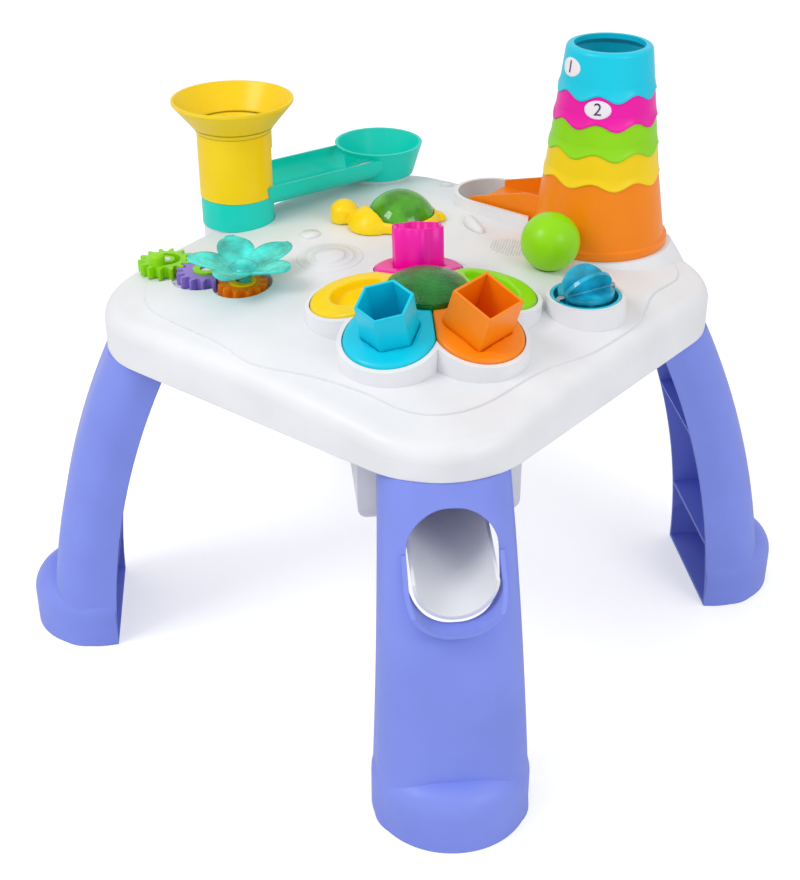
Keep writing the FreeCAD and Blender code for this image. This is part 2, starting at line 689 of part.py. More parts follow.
def scallops(edge_z, drop):
    """Upright column of everything above a wavy edge, lowered by drop."""
    reach = CUP_BASE_R * 2
    column = disc(0, 0, edge_z - drop - WAVE_DEPTH / 2, reach, CUP_TOP_Z)
    bites = []
    for k in range(WAVE_COUNT // 2):
        bite = Part.makeCylinder(WAVE_R, 2 * reach + CUT_PAST, V(-reach - CUT_PAST, 0, 0), V(1, 0, 0))
        bite.translate(V(0, 0, edge_z - drop + WAVE_DEPTH / 2 - WAVE_R))
        bites.append(spin(bite, 360 / WAVE_COUNT * (k + 0.5)))
    return column.cut(bites[0].fuse(bites[1:]))


def upper_room(edge_z):
    """What the cup above takes from this cup: its wall and the space round it."""
    taken = scallops(edge_z, SEAT_GAP)
    neck_top = edge_z + CUP_NECK_H
    low = edge_z - WAVE_DEPTH
    gap = CUP_WALL + SEAT_GAP
    core = turned([(0, low), (cup_r(low) - gap, low), (cup_r(neck_top) - gap, neck_top), (0, neck_top)], 0, 0)
    return taken.cut(core)


def cup(index):
    """Cup of the tower, counted from the top: tapered tube with a necked top and a wavy lower edge."""
    top = CUP_TOP_Z if index == 0 else CUP_EDGE_Z[index - 1] + CUP_NECK_H
    low = CUP_EDGE_Z[index] - WAVE_DEPTH
    in_top = CUP_HOLE_R if index == 0 else cup_r(top) - 2 * (CUP_WALL + SEAT_GAP)
    outline = [(cup_r(low) - CUP_WALL, low), (cup_r(low), low), (cup_r(top), top), (in_top, top)]
    if index == 0:
        outline.append((in_top, top - CUP_RIM_R))
        outline.append((cup_r(top - CUP_RIM_R) - CUP_WALL, top - 2 * CUP_RIM_R))
    else:
        shelf = CUP_EDGE_Z[index - 1] - WAVE_DEPTH
        outline.append((in_top + CUP_TAPER * CUP_NECK_H, shelf - CUP_WALL))
        outline.append((cup_r(shelf - 2 * CUP_WALL) - CUP_WALL, shelf - 2 * CUP_WALL))
    body = turned(outline, 0, 0).common(scallops(CUP_EDGE_Z[index], 0))
    if index == 0:
        body = fillet_where(body, CUP_RIM_R - SEAT_GAP, lambda e: e.BoundBox.ZMin > top - SEAT_GAP and
                            e.BoundBox.XMax > CUP_TOP_R - CUT_PAST)
    else:
        body = body.cut(upper_room(CUP_EDGE_Z[index - 1]))
    body.translate(V(CUP_X, CUP_Y, 0))
    return body


def cup_base():
    """Foot of the tower: a wide cone with a rolled lip, an arch and the spout that leaves it."""
    last = CUP_EDGE_Z[-1]
    top = last + CUP_NECK_H
    in_top = cup_r(top) - 2 * (CUP_WALL + SEAT_GAP)
    shelf = last - WAVE_DEPTH
    low = CUP_BASE_Z
    lip_r = CUP_BASE_R + CUP_LIP_OUT
    body = turned([(CUP_BASE_R - CUP_WALL, low), (lip_r, low), (lip_r, low + CUP_LIP_H - CUP_LIP_OUT),
                   (cup_r(low + CUP_LIP_H), low + CUP_LIP_H), (cup_r(last), last), (cup_r(top), top), (in_top, top),
                   (in_top + CUP_TAPER * CUP_NECK_H, shelf - CUP_WALL),
                   (cup_r(shelf - 2 * CUP_WALL) - CUP_WALL, shelf - 2 * CUP_WALL)], 0, 0)
    body = body.cut(upper_room(last))
    half = SPOUT_HALF
    arch = block(-SPOUT_LENGTH, -half + SPOUT_WALL, low + CUP_LIP_H + SPOUT_WALL, 0, half - SPOUT_WALL,
                 SPOUT_Z - SPOUT_WALL + 2 * BALL_ROOM)
    body = body.cut(arch)
    body = body.fuse(spout()).removeSplitter()
    body.translate(V(CUP_X, CUP_Y, 0))
    return body


def spout():
    """Open trough that slopes from the tower towards the basin, with a ramp inside the tower."""
    half = SPOUT_HALF
    start = CUP_BASE_R - CUP_WALL - SEAT_GAP
    low = CUP_BASE_Z + CUP_LIP_H
    side = [(start, low), (-SPOUT_LENGTH, low), (-SPOUT_LENGTH, low + SPOUT_SIDE_H / 2),
            (-CUP_BASE_R, SPOUT_Z + SPOUT_SIDE_H), (start, SPOUT_Z + SPOUT_SIDE_H)]
    trough = prism(side, -half, 2 * half)
    ramp = prism([(CUP_BASE_R * 2, SPOUT_Z + SPOUT_DROP), (-SPOUT_LENGTH - CUT_PAST, low + SPOUT_WALL),
                  (-SPOUT_LENGTH - CUT_PAST, CUP_TOP_Z), (CUP_BASE_R * 2, CUP_TOP_Z)],
                 -half + SPOUT_WALL, 2 * (half - SPOUT_WALL))
    under = prism([(CUP_BASE_R * 2, SPOUT_Z + SPOUT_DROP - SPOUT_WALL), (-CUP_BASE_R, low),
                   (-CUP_BASE_R, low - CUT_PAST), (CUP_BASE_R * 2, low - CUT_PAST)],
                  -half + SPOUT_WALL, 2 * (half - SPOUT_WALL))
    trough = trough.cut(ramp).cut(under)
    trough.rotate(ORIGIN, V(1, 0, 0), 90)
    inside = disc(0, 0, low - CUT_PAST, CUP_BASE_R - 2 * CUP_WALL - CUT_PAST, SPOUT_Z)
    outside = block(-SPOUT_LENGTH - CUT_PAST, -half, low - CUT_PAST, 0, half, CUP_TOP_Z)
    return trough.common(inside.fuse(outside))


# Funnel and ball track
def funnel():
    wall = FUNNEL_WALL
    tube = FUNNEL_TUBE_R
    spigot = RING_R - RING_WALL - SEAT_GAP
    low = RING_TOP_Z - FUNNEL_SEAT
    seat = RING_TOP_Z + SEAT_GAP
    throat = FUNNEL_CONE_Z - 2 * wall
    body = turned([(spigot - wall, low), (spigot, low), (spigot, seat), (tube, seat), (tube, FUNNEL_CONE_Z),
                   (FUNNEL_RIM_R, FUNNEL_RIM_Z - wall), (FUNNEL_RIM_R, FUNNEL_RIM_Z),
                   (FUNNEL_RIM_R - wall, FUNNEL_RIM_Z),
                   (tube - wall, throat), (tube - wall, seat + wall), (spigot - wall, seat)], FUNNEL_X, FUNNEL_Y)
    arch = block(0, -BALL_ROOM, 0, FUNNEL_RIM_R, BALL_ROOM, 2 * BALL_ROOM)
    return body.cut(along_track(arch))


def track_line():
    """Length, direction and slope of the trough, from the base ring to the loop."""
    dx = LOOP_X - FUNNEL_X
    dy = LOOP_Y - FUNNEL_Y
    return math.hypot(dx, dy), math.degrees(math.atan2(dy, dx))


def along_track(shape):
    length, turn = track_line()
    tilt = math.degrees(math.atan2(TRACK_START_Z - TRACK_END_Z, length))
    copy = shape.copy()
    copy.rotate(ORIGIN, V(0, 1, 0), tilt)
    copy.rotate(ORIGIN, UP, turn)
    copy.translate(V(FUNNEL_X, FUNNEL_Y, TRACK_START_Z))
    return copy


def trough(half, floor, start, end):
    """Straight length of trough that starts at the origin and runs along +X."""
    box = block(start, -half, -floor, end, half, TRACK_SIDE_H)
    return fillet_where(box, TRACK_SIDE_H - TRACK_WALL + floor - CUT_PAST,
                        lambda e: e.BoundBox.ZMax < CUT_PAST and e.BoundBox.XLength > CUT_PAST)


def ball_track():
    length, turn = track_line()
    outer = trough(TRACK_HALF + TRACK_WALL, TRACK_WALL, 0, length)
    base_ring = disc(FUNNEL_X, FUNNEL_Y, RING_Z, RING_R, RING_TOP_Z - RING_Z)
    bowl = turned([(0, LOOP_FLOOR_Z - TRACK_WALL), (LOOP_LOW_R, LOOP_FLOOR_Z - TRACK_WALL),
                   (LOOP_TOP_R, LOOP_TOP_Z), (0, LOOP_TOP_Z)], LOOP_X, LOOP_Y)
    body = along_track(outer).fuse([base_ring, bowl])
    bore = disc(FUNNEL_X, FUNNEL_Y, TRACK_START_Z, RING_R - RING_WALL, RING_TOP_Z)
    under_h = TRACK_START_Z - TRACK_WALL - RING_Z + CUT_PAST
    under = disc(FUNNEL_X, FUNNEL_Y, RING_Z - CUT_PAST, RING_R - RING_WALL, under_h)
    way = along_track(trough(TRACK_HALF, 0, 0, length))
    bowl_in = turned([(0, LOOP_FLOOR_Z), (LOOP_LOW_R - TRACK_WALL, LOOP_FLOOR_Z),
                      (LOOP_TOP_R - TRACK_WALL, LOOP_TOP_Z + CUT_PAST), (0, LOOP_TOP_Z + CUT_PAST)], LOOP_X, LOOP_Y)
    hole = disc(LOOP_X, LOOP_Y, SKIRT_Z, LOOP_HOLE_R, CROWN_Z)
    tube = disc(FUNNEL_X, FUNNEL_Y, RING_TOP_Z, FUNNEL_TUBE_R + SEAT_GAP, TRACK_SIDE_H + CUT_PAST)
    for taken in (bore, under, way, bowl_in, hole, tube):
        body = body.cut(taken)
    return body.removeSplitter()


# Gears
def gear_wheel(teeth, phase):
    """Toothed wheel about the origin, its first tooth at the phase angle."""
    pitch = math.pi * GEAR_MODULE
    root = GEAR_MODULE * (teeth / 2 - TOOTH_DED)
    mid = GEAR_MODULE * teeth / 2
    tip = tip_r(teeth)
    tooth_half = [(root - CUT_PAST, TOOTH_ROOT_SHARE), (mid, TOOTH_PITCH_SHARE), (tip, TOOTH_TIP_SHARE)]
    flank = [(r, share * pitch) for r, share in tooth_half]
    outline = flank + [(r, -half) for r, half in reversed(flank)]
    tooth = prism(outline, 0, GEAR_H)
    wheel = disc(0, 0, 0, root, GEAR_H)
    return wheel.fuse([spin(tooth, phase + 360 / teeth * k) for k in range(teeth)])


def gear_phase(index):
    """Tooth angle of each gear, so that the train meshes at rest."""
    if index == 1:
        return LIME_TURN
    turn = LIME_TURN if index == 0 else ORANGE_TURN
    teeth = GEARS[index][2]
    lead = (turn - LIME_TURN) % (360 / PURPLE_TEETH)
    return turn + 180 + 180 / teeth + lead * PURPLE_TEETH / teeth


def set_gear(index, shape):
    x, y, teeth = GEARS[index]
    shape.translate(V(x, y, GEAR_Z))
    return shape


def bored(shape):
    return shape.cut(disc(0, 0, -CUT_PAST, GEAR_BORE_R, GEAR_H + KNOB_H))


def lime_gear():
    wheel = gear_wheel(LIME_TEETH, gear_phase(0))
    web = GEAR_H / 3
    wheel = wheel.cut(ring(0, 0, web, GEAR_MODULE * LIME_TEETH / 2 - 2 * GEAR_BORE_R, GEAR_BORE_R + HUB_H, GEAR_H))
    kx, ky = polar(LIME_RING_IN_R, LOBE_FIRST + LIME_TURN)
    knob = disc(kx, ky, 0, KNOB_R, KNOB_H)
    knob = fillet_where(knob, KNOB_R / 2, lambda e: e.BoundBox.ZMin > KNOB_H - CUT_PAST)
    return set_gear(0, bored(wheel).fuse(knob.cut(disc(0, 0, -CUT_PAST, GEAR_BORE_R + SHELL_WALL / 2, KNOB_H))))


def plain_gear(index):
    wheel = gear_wheel(GEARS[index][2], gear_phase(index))
    wheel = wheel.cut(ring(0, 0, GEAR_H - HUB_H, HUB_R, GEAR_BORE_R + CUT_PAST / 2, GEAR_H))
    return set_gear(index, bored(wheel))


def hub_cap(index):
    cap = ring(0, 0, GEAR_H - HUB_H, HUB_R - SEAT_GAP / 10, GEAR_BORE_R + CUT_PAST, HUB_H + HUB_H / 2)
    return set_gear(index, cap)


def flower_spinner():
    """Post, hub and five rising petals that turn with the orange gear."""
    x, y, teeth = GEARS[2]
    seat = GEAR_Z + GEAR_H
    low = seat + HUB_H / 2
    body = disc(x, y, low, FLOWER_POST_R, SPIN_Z - low + SPIN_PETAL_T)
    hub = dome(x, y, SPIN_Z, SPIN_HUB_R, SPIN_PETAL_T * 2)
    petals = []
    for k in range(SPIN_PETALS):
        petal = disc(SPIN_PETAL_AT, 0, 0, SPIN_PETAL_R, SPIN_PETAL_T)
        stem = block(0, -SPIN_PETAL_R / 2, 0, SPIN_PETAL_AT, SPIN_PETAL_R / 2, SPIN_PETAL_T)
        petal = petal.fuse(stem)
        petal.rotate(ORIGIN, V(0, -1, 0), SPIN_RISE)
        petal.rotate(ORIGIN, UP, SORTER_TILT + 360 / SPIN_PETALS * k)
        petal.translate(V(x, y, SPIN_Z))
        petals.append(petal)
    body = body.fuse([hub] + petals)
    return body.removeSplitter()


# Shape sorter
def sector(turn, z0, z1):
    """Wedge of one lobe, a hair narrower than its share of the circle."""
    reach = LOBE_REACH * 2
    half = 180 / LOBE_COUNT
    ax, ay = polar(reach, turn - half)
    bx, by = polar(reach, turn + half)
    wedge = prism([(0, 0), (ax, ay), (bx, by)], z0, z1 - z0)
    sx, sy = polar(PETAL_SPLIT / math.sin(math.radians(half)), turn)
    wedge.translate(V(sx, sy, 0))
    return wedge


def at_lobe(shape, turn):
    """Tip a shape modelled about the cone's surface point onto a lobe."""
    copy = shape.copy()
    copy.rotate(ORIGIN, V(0, 1, 0), SORTER_SLOPE)
    copy.translate(V(LOBE_AT, 0, -SLOPE_TAN * LOBE_AT))
    copy.rotate(ORIGIN, UP, turn)
    return copy


def regular(sides, across_r, grow, phase=0.0):
    reach = across_r + grow / math.cos(math.pi / sides)
    return [polar(reach, phase + 360 / sides * k) for k in range(sides)]


def star_outline(grow):
    points = []
    for k in range(2 * STAR_TIPS):
        r = (BLOCK_ACROSS / 2 if k % 2 == 0 else BLOCK_ACROSS / 2 * STAR_WAIST) + grow
        points.append(polar(r, 180 / STAR_TIPS * k))
    return points


def block_outline(kind, grow):
    if kind == "star":
        return star_outline(grow)
    if kind == "hexagon":
        return regular(6, BLOCK_ACROSS / 2, grow, HEX_TURN)
    return regular(4, BLOCK_ACROSS / 2 * SQUARE_REACH, grow, SQUARE_TURN)


def shape_block(kind):
    low = BLOCK_OUT - BLOCK_H
    body = prism(block_outline(kind, 0), low, BLOCK_H)
    return body.cut(prism(block_outline(kind, -BLOCK_WALL), low + BLOCK_WALL, BLOCK_H))


def pocket(kind, grow):
    low = BLOCK_OUT - BLOCK_H - SEAT_GAP - (POCKET_FLOOR if grow > SLIDE_GAP else 0)
    reach = BLOCK_H * 2
    if kind == "round":
        return disc(0, 0, low, BLOCK_ACROSS / 2 - BLOCK_WALL + grow, reach)
    if kind == "oval":
        long = capsule(-OVAL_HALF, OVAL_HALF, 0, low, BLOCK_ACROSS / 2 - 2 * BLOCK_WALL + grow, reach)
        return spin(long, 90)
    return prism(block_outline(kind, grow), low, reach)


def petal(turn, kind):
    """One coloured lobe: a shell under the cone, with a floored pocket for its block."""
    home = LOBE_FIRST
    solid = lobes(0, PETAL_LOW, CUT_PAST).common(sector(home, PETAL_LOW, CUT_PAST)).common(cone_cap(0))
    rim = fillet_where(solid, LOBE_EDGE_R / 2, lobe_rim)
    hollow = lobes(-2 * BLOCK_WALL, PETAL_LOW - CUT_PAST, 0).common(sector(home, PETAL_LOW - CUT_PAST, 0))
    hollow = hollow.common(cone_cap(-2 * BLOCK_WALL))
    hollow.translate(V(0, 0, -BLOCK_WALL))
    inner = disc(0, 0, PETAL_LOW - 2 * CUT_PAST, BUTTON_R + 2 * BLOCK_WALL, PETAL_H * 3)
    hollow = hollow.cut(inner).cut(at_lobe(pocket(kind, POCKET_FLOOR), home))
    body = rim.cut(hollow).cut(at_lobe(pocket(kind, SLIDE_GAP), home))
    body = body.cut(disc(0, 0, PETAL_LOW - CUT_PAST, BUTTON_R + SLIDE_GAP, PETAL_H * 3))
    return sorter_place(spin(body, turn - home))


def lobe_rim(edge):
    """True for the edge where a lobe's round side meets the cone."""
    middle = edge.valueAt((edge.FirstParameter + edge.LastParameter) / 2)
    away = math.hypot(middle.x, middle.y)
    return away > LOBE_REACH - LOBE_EDGE_R and middle.z > PETAL_LOW + LOBE_EDGE_R


def sorter_button():
    """Clear dome with a skirt, which is pressed down inside the petals."""
    rim = -SLOPE_TAN * BUTTON_R + BUTTON_PROUD
    low = rim - BUTTON_SKIRT
    cap = dome(0, 0, rim, BUTTON_R, BUTTON_RISE)
    cap = cap.fuse(disc(0, 0, low, BUTTON_R, BUTTON_SKIRT))
    inside = dome(0, 0, rim, BUTTON_R - BUTTON_WALL, BUTTON_RISE - BUTTON_WALL)
    inside = inside.fuse(disc(0, 0, low + BUTTON_WALL, BUTTON_R - BUTTON_WALL, BUTTON_SKIRT - BUTTON_WALL))
    return sorter_place(cap.cut(inside))


def coil(r, wire, low, high, turns):
    """Compression spring as one helix of wire."""
    helix = Part.makeHelix((high - low - 2 * wire) / turns, high - low - 2 * wire, r)
    start = helix.Edges[0].valueAt(helix.Edges[0].FirstParameter)
    tangent = helix.Edges[0].tangentAt(helix.Edges[0].FirstParameter)
    section = Part.Wire(Part.makeCircle(wire, start, tangent))
    spring = Part.Wire(helix.Edges).makePipeShell([section], True, True)
    spring.translate(V(0, 0, low + wire))
    return spring


SORTER_SPRING_TOP = -SLOPE_TAN * BUTTON_R + BUTTON_PROUD - BUTTON_SKIRT - SEAT_GAP


def sorter_spring():
    return sorter_place(coil(SPRING_R, SPRING_WIRE_R, PETAL_LOW, SORTER_SPRING_TOP, SPRING_TURNS))


def sorter_light_board():
    """Small round board with its lights, on the podium's floor inside the spring."""
    board = disc(0, 0, PETAL_LOW, SPRING_R - 2 * SPRING_WIRE_R - CUT_PAST, BOARD_T)
    places = [polar(LED_AT, 360 / LED_COUNT * k) for k in range(LED_COUNT)]
    lights = [disc(x, y, PETAL_LOW + BOARD_T, LED_R, LED_R) for x, y in places]
    return sorter_place(board.fuse(lights))


# Tumbling spinner
def spinner_bowl():
    low = SPINNER_AXLE_Z - SPINNER_DISC_R - SPINNER_BOWL_WALL - SEAT_GAP
    wall = SPINNER_BOWL_WALL
    r = SPINNER_BOWL_R
    floor_r = r - wall * 3
    bowl = turned([(0, low), (floor_r, low), (r, low + wall * 3), (r, SPINNER_RIM_Z), (r - wall, SPINNER_RIM_Z),
                   (r - wall, low + wall * 4), (floor_r, low + wall), (0, low + wall)], SPINNER_X, SPINNER_Y)
    cups = Part.makeCylinder(SPINNER_AXLE_R + SHAFT_GAP, 2 * r, V(-r, 0, SPINNER_AXLE_Z), V(1, 0, 0))
    slot = block(-r, -SPINNER_AXLE_R - SHAFT_GAP, SPINNER_AXLE_Z, r, SPINNER_AXLE_R + SHAFT_GAP, CROWN_Z * 2)
    seats = cups.fuse(slot)
    seats.translate(V(SPINNER_X, SPINNER_Y, 0))
    return bowl.cut(spin(seats, SPINNER_TURN, SPINNER_X, SPINNER_Y))


def spinner_wheel():
    """Three round plates that share the axle, each turned a third of a turn about it."""
    plates = []
    axis = V(1, 0, 0)
    for k in range(SPINNER_DISC_COUNT):
        plate = Part.makeCylinder(SPINNER_DISC_R, SPINNER_DISC_T, V(0, 0, -SPINNER_DISC_T / 2))
        plate.rotate(ORIGIN, axis, 180 / SPINNER_DISC_COUNT * k)
        plates.append(plate)
    hub = Part.makeCylinder(SPINNER_AXLE_R * 2, 2 * SPINNER_HALF, V(-SPINNER_HALF, 0, 0), axis)
    body = plates[0].fuse(plates[1:] + [hub])
    bore_r = SPINNER_AXLE_R + SEAT_GAP / 10
    body = body.cut(Part.makeCylinder(bore_r, 4 * SPINNER_HALF, V(-2 * SPINNER_HALF, 0, 0), axis))
    ends = block(-SPINNER_HALF, -SPINNER_DISC_R, -SPINNER_DISC_R, SPINNER_HALF, SPINNER_DISC_R, SPINNER_DISC_R)
    return spinner_place(body.common(ends))


def spinner_place(body):
    body.rotate(ORIGIN, UP, SPINNER_TURN)
    body.translate(V(SPINNER_X, SPINNER_Y, SPINNER_AXLE_Z))
    return body


def spinner_axle():
    half = SPINNER_BOWL_R - SLIDE_GAP
    return spinner_place(Part.makeCylinder(SPINNER_AXLE_R, 2 * half, V(-half, 0, 0), V(1, 0, 0)))


# Turtle
TURTLE_Z = dz(TURTLE_X, TURTLE_Y) + PLATEAU_STEP + SEAT_GAP


def turtle_body():
    """Low round body with chest, head and feet, open in the middle for the dome."""
    z = TURTLE_Z - SHELL_WALL
    h = TURTLE_BASE_H + SHELL_WALL
    body = disc(TURTLE_X, TURTLE_Y, z, TURTLE_R, h)
    body = fillet_where(body, TURTLE_BASE_H / 2, lambda e: e.BoundBox.ZMin > TURTLE_Z)
    parts = []
    hx, hy = polar(TURTLE_HEAD_AT, TURTLE_HEAD_TURN)
    parts.append(dome(TURTLE_X + hx, TURTLE_Y + hy, z, TURTLE_HEAD_R, TURTLE_HEAD_R + TURTLE_BASE_H))
    nx, ny = polar(TURTLE_HEAD_AT * 3 / 4, TURTLE_HEAD_TURN)
    parts.append(dome(TURTLE_X + nx, TURTLE_Y + ny, z, TURTLE_HEAD_R, h))
    cx, cy = polar(TURTLE_CHEST_AT, TURTLE_CHEST_TURN)
    parts.append(dome(TURTLE_X + cx, TURTLE_Y + cy, z, TURTLE_CHEST_R, TURTLE_CHEST_R))
    for turn in TURTLE_FOOT_TURNS:
        fx, fy = polar(TURTLE_R, TURTLE_HEAD_TURN + turn)
        parts.append(dome(TURTLE_X + fx, TURTLE_Y + fy, z, TURTLE_FOOT_R, h * 3 / 4))
    body = body.fuse(parts)
    well = disc(TURTLE_X, TURTLE_Y, z + SHELL_WALL, TURTLE_DOME_R + SLIDE_GAP - TURTLE_WALL, CROWN_Z)
    floor_cut = crown_ball(-PLATEAU_STEP - SEAT_GAP)
    return body.cut(well).cut(floor_cut)


def turtle_dome():
    r = TURTLE_DOME_R - TURTLE_WALL
    low = TURTLE_Z + BUTTON_TRAVEL + SHELL_WALL
    rise = TURTLE_DOME_RISE
    cap = dome(TURTLE_X, TURTLE_Y, TURTLE_Z + TURTLE_BASE_H, r, rise - TURTLE_BASE_H)
    cap = cap.fuse(disc(TURTLE_X, TURTLE_Y, low, r, TURTLE_Z + TURTLE_BASE_H - low))
    inside = dome(TURTLE_X, TURTLE_Y, TURTLE_Z + TURTLE_BASE_H, r - TURTLE_WALL, rise - TURTLE_BASE_H - TURTLE_WALL)
    hollow_h = TURTLE_Z + TURTLE_BASE_H - low - TURTLE_WALL
    inside = inside.fuse(disc(TURTLE_X, TURTLE_Y, low + TURTLE_WALL, r - TURTLE_WALL, hollow_h))
    return cap.cut(inside)


def turtle_spring():
    """Light return spring between the top and the dome's floor."""
    spring = coil(SPRING_R, SPRING_WIRE_R, TURTLE_Z, TURTLE_Z + BUTTON_TRAVEL + SHELL_WALL - SEAT_GAP, 2.0)
    spring.translate(V(TURTLE_X, TURTLE_Y, 0))
    return spring


def turtle_figure():
    """Small leaf-shaped light guide that stands inside the clear dome."""
    low = TURTLE_Z + BUTTON_TRAVEL + SHELL_WALL + TURTLE_WALL
    stem = disc(TURTLE_X, TURTLE_Y, low, SHELL_WALL, TURTLE_BASE_H)
    leaf = dome(TURTLE_X, TURTLE_Y, low + SHELL_WALL, TURTLE_HEAD_R, TURTLE_HEAD_R)
    return stem.fuse(leaf).cut(disc(TURTLE_X, TURTLE_Y, low - CUT_PAST, SHELL_WALL / 2, TURTLE_BASE_H / 2))


# Electronics
def board():
    base = block(BOARD_X - BOARD_L / 2, BOARD_Y - BOARD_W / 2, BOARD_Z, BOARD_X + BOARD_L / 2, BOARD_Y + BOARD_W / 2,
                 BOARD_Z + BOARD_T)
    chip = block(BOARD_X - LED_AT, BOARD_Y - LED_AT, BOARD_Z + BOARD_T, BOARD_X + LED_AT, BOARD_Y + LED_AT,
                 BOARD_Z + 2 * BOARD_T)
    return base.fuse(chip)


def board_corners():
    inset = 2 * BOARD_STANDOFF_R
    return [(BOARD_X + sx * (BOARD_L / 2 - inset), BOARD_Y + sy * (BOARD_W / 2 - inset))
            for sx in (-1, 1) for sy in (-1, 1)]


def standoffs():
    low = TRAY_Z + TRAY_T
    return [disc(x, y, low - SEAT_GAP, BOARD_STANDOFF_R, BOARD_Z - low + SEAT_GAP) for x, y in board_corners()]


def speaker():
    low = TRAY_Z + TRAY_T
    magnet = disc(SPEAKER_X, SPEAKER_Y, low + SPEAKER_H / 2, SPEAKER_R / 2, SPEAKER_H / 2)
    basket = turned([(0, low), (SPEAKER_R, low), (SPEAKER_R, low + BOX_WALL), (SPEAKER_R / 2, low + SPEAKER_H / 2),
                     (0, low + SPEAKER_H / 2)], SPEAKER_X, SPEAKER_Y)
    return basket.fuse(magnet)


def batteries():
    cells = []
    pitch = 2 * (BATTERY_R + BATTERY_GAP)
    z = TRAY_Z + DOOR_T + BATTERY_R
    for k in range(BATTERY_COUNT):
        y = BATTERY_Y + pitch * (k - (BATTERY_COUNT - 1) / 2)
        cell = Part.makeCylinder(BATTERY_R, BATTERY_L - NUB_L, V(BATTERY_X - BATTERY_L / 2, y, z), V(1, 0, 0))
        nub = Part.makeCylinder(BATTERY_R / 3, NUB_L, V(BATTERY_X + BATTERY_L / 2 - NUB_L, y, z), V(1, 0, 0))
        cells.append(cell.fuse(nub))
    return Part.makeCompound(cells)


def contacts():
    plates = []
    half = BATTERY_L / 2
    width = BATTERY_COUNT * (BATTERY_R + BATTERY_GAP) - BOX_WALL
    z = TRAY_Z + DOOR_T + BATTERY_R
    for side in (-1, 1):
        x = BATTERY_X + side * (half + BATTERY_GAP)
        plates.append(block(x - SEAT_GAP, BATTERY_Y - width, z - BATTERY_R / 2, x + SEAT_GAP, BATTERY_Y + width,
                            z + BATTERY_R / 2))
    return Part.makeCompound(plates)


def power_switch():
    half = SWITCH_L / 2 - SLIDE_GAP
    wide = SWITCH_W / 2 - SLIDE_GAP
    knob = block(SWITCH_X - half, SWITCH_Y - wide, TRAY_Z - SEAT_GAP, SWITCH_X + half, SWITCH_Y + wide,
                 TRAY_Z + TRAY_T + SEAT_GAP)
    flange = block(SWITCH_X - half - SWITCH_T / 2, SWITCH_Y - wide - SWITCH_T / 2, TRAY_Z + TRAY_T + SEAT_GAP,
                   SWITCH_X + half + SWITCH_T / 2, SWITCH_Y + wide + SWITCH_T / 2, TRAY_Z + TRAY_T + SWITCH_T / 2)
    return knob.fuse(flange)


def screw(x, y, z, length):
    """Pan-head screw with a cross recess, driven upwards from z."""
    head = disc(x, y, z, SCREW_HEAD_R, SCREW_HEAD_H)
    shank = disc(x, y, z + SCREW_HEAD_H, SCREW_R, length)
    arm = SCREW_HEAD_R / 3
    recess = block(x - 2 * arm, y - arm / 2, z - CUT_PAST, x + 2 * arm, y + arm / 2, z + arm)
    recess = recess.fuse(block(x - arm / 2, y - 2 * arm, z - CUT_PAST, x + arm / 2, y + 2 * arm, z + arm))
    return head.fuse(shank).cut(recess)


def casing_bosses():
    low = TRAY_Z + TRAY_T + SEAT_GAP
    bosses = []
    for x, y in CASING_SCREWS:
        outer = disc(x, y, low, BOSS_R, dz(x, y) - SHELL_WALL / 2 - low)
        bosses.append(outer.cut(disc(x, y, low - CUT_PAST, SCREW_R, SCREW_L + CUT_PAST)))
    return bosses


def casing_screws():
    return Part.makeCompound([screw(x, y, TRAY_Z - SCREW_HEAD_H, SCREW_L) for x, y in CASING_SCREWS])


def build():
    save("tabletop_shell", tabletop().fuse(casing_bosses()))
    casing = side_leg()
    for name, turn in LEG_TURNS.items():
        save(name, spin(front_leg() if name == "front_leg" else casing, turn))
    holes = [disc(x, y, TRAY_Z - CUT_PAST, SCREW_R, TRAY_T + 2 * CUT_PAST) for x, y in CASING_SCREWS]
    save("underside_tray", tray().fuse(standoffs()).cut(holes[0].fuse(holes[1:])))
    save("ball_chute", spin(chute(), LEG_TURNS["front_leg"]))
    for index, name in enumerate(CUPS):
        save(name, cup(index))
    save("cup_base", cup_base())
    save("funnel", funnel())
    save("ball_track", ball_track())
    ball_z = dz(BALL_X, BALL_Y) + PLATEAU_STEP - DIMPLE_DEPTH + BALL_R + SEAT_GAP
    save("ball", Part.makeSphere(BALL_R, V(BALL_X, BALL_Y, ball_z)))
    save("lime_gear", lime_gear())
    save("purple_gear", plain_gear(1))
    save("orange_gear", plain_gear(2))
    save("lime_hub_cap", hub_cap(1))
    save("yellow_hub_disc", hub_cap(2))
    save("flower_spinner", flower_spinner())
    for turn, (colour, kind) in zip(LOBE_TURNS, PETALS.items()):
        save("petal_" + colour, petal(turn, kind))
        if kind in BLOCKS:
            save(kind + "_block", sorter_place(at_lobe(shape_block(kind), turn)))
    save("sorter_dome", sorter_button())
    save("sorter_spring", sorter_spring())
    save("sorter_light_board", sorter_light_board())
    save("spinner_bowl", spinner_bowl())
    save("spinner_wheel", spinner_wheel())
    save("spinner_axle", spinner_axle())
    save("turtle_body", turtle_body())
    save("turtle_dome", turtle_dome())
    save("turtle_spring", turtle_spring())
    save("turtle_light_guide", turtle_figure())
    save("circuit_board", board())
    save("speaker", speaker())
    save("batteries", batteries())
    save("battery_contacts", contacts())
    save("battery_door", battery_door())
    save("power_switch", power_switch())
    save("casing_screws", casing_screws())


build()
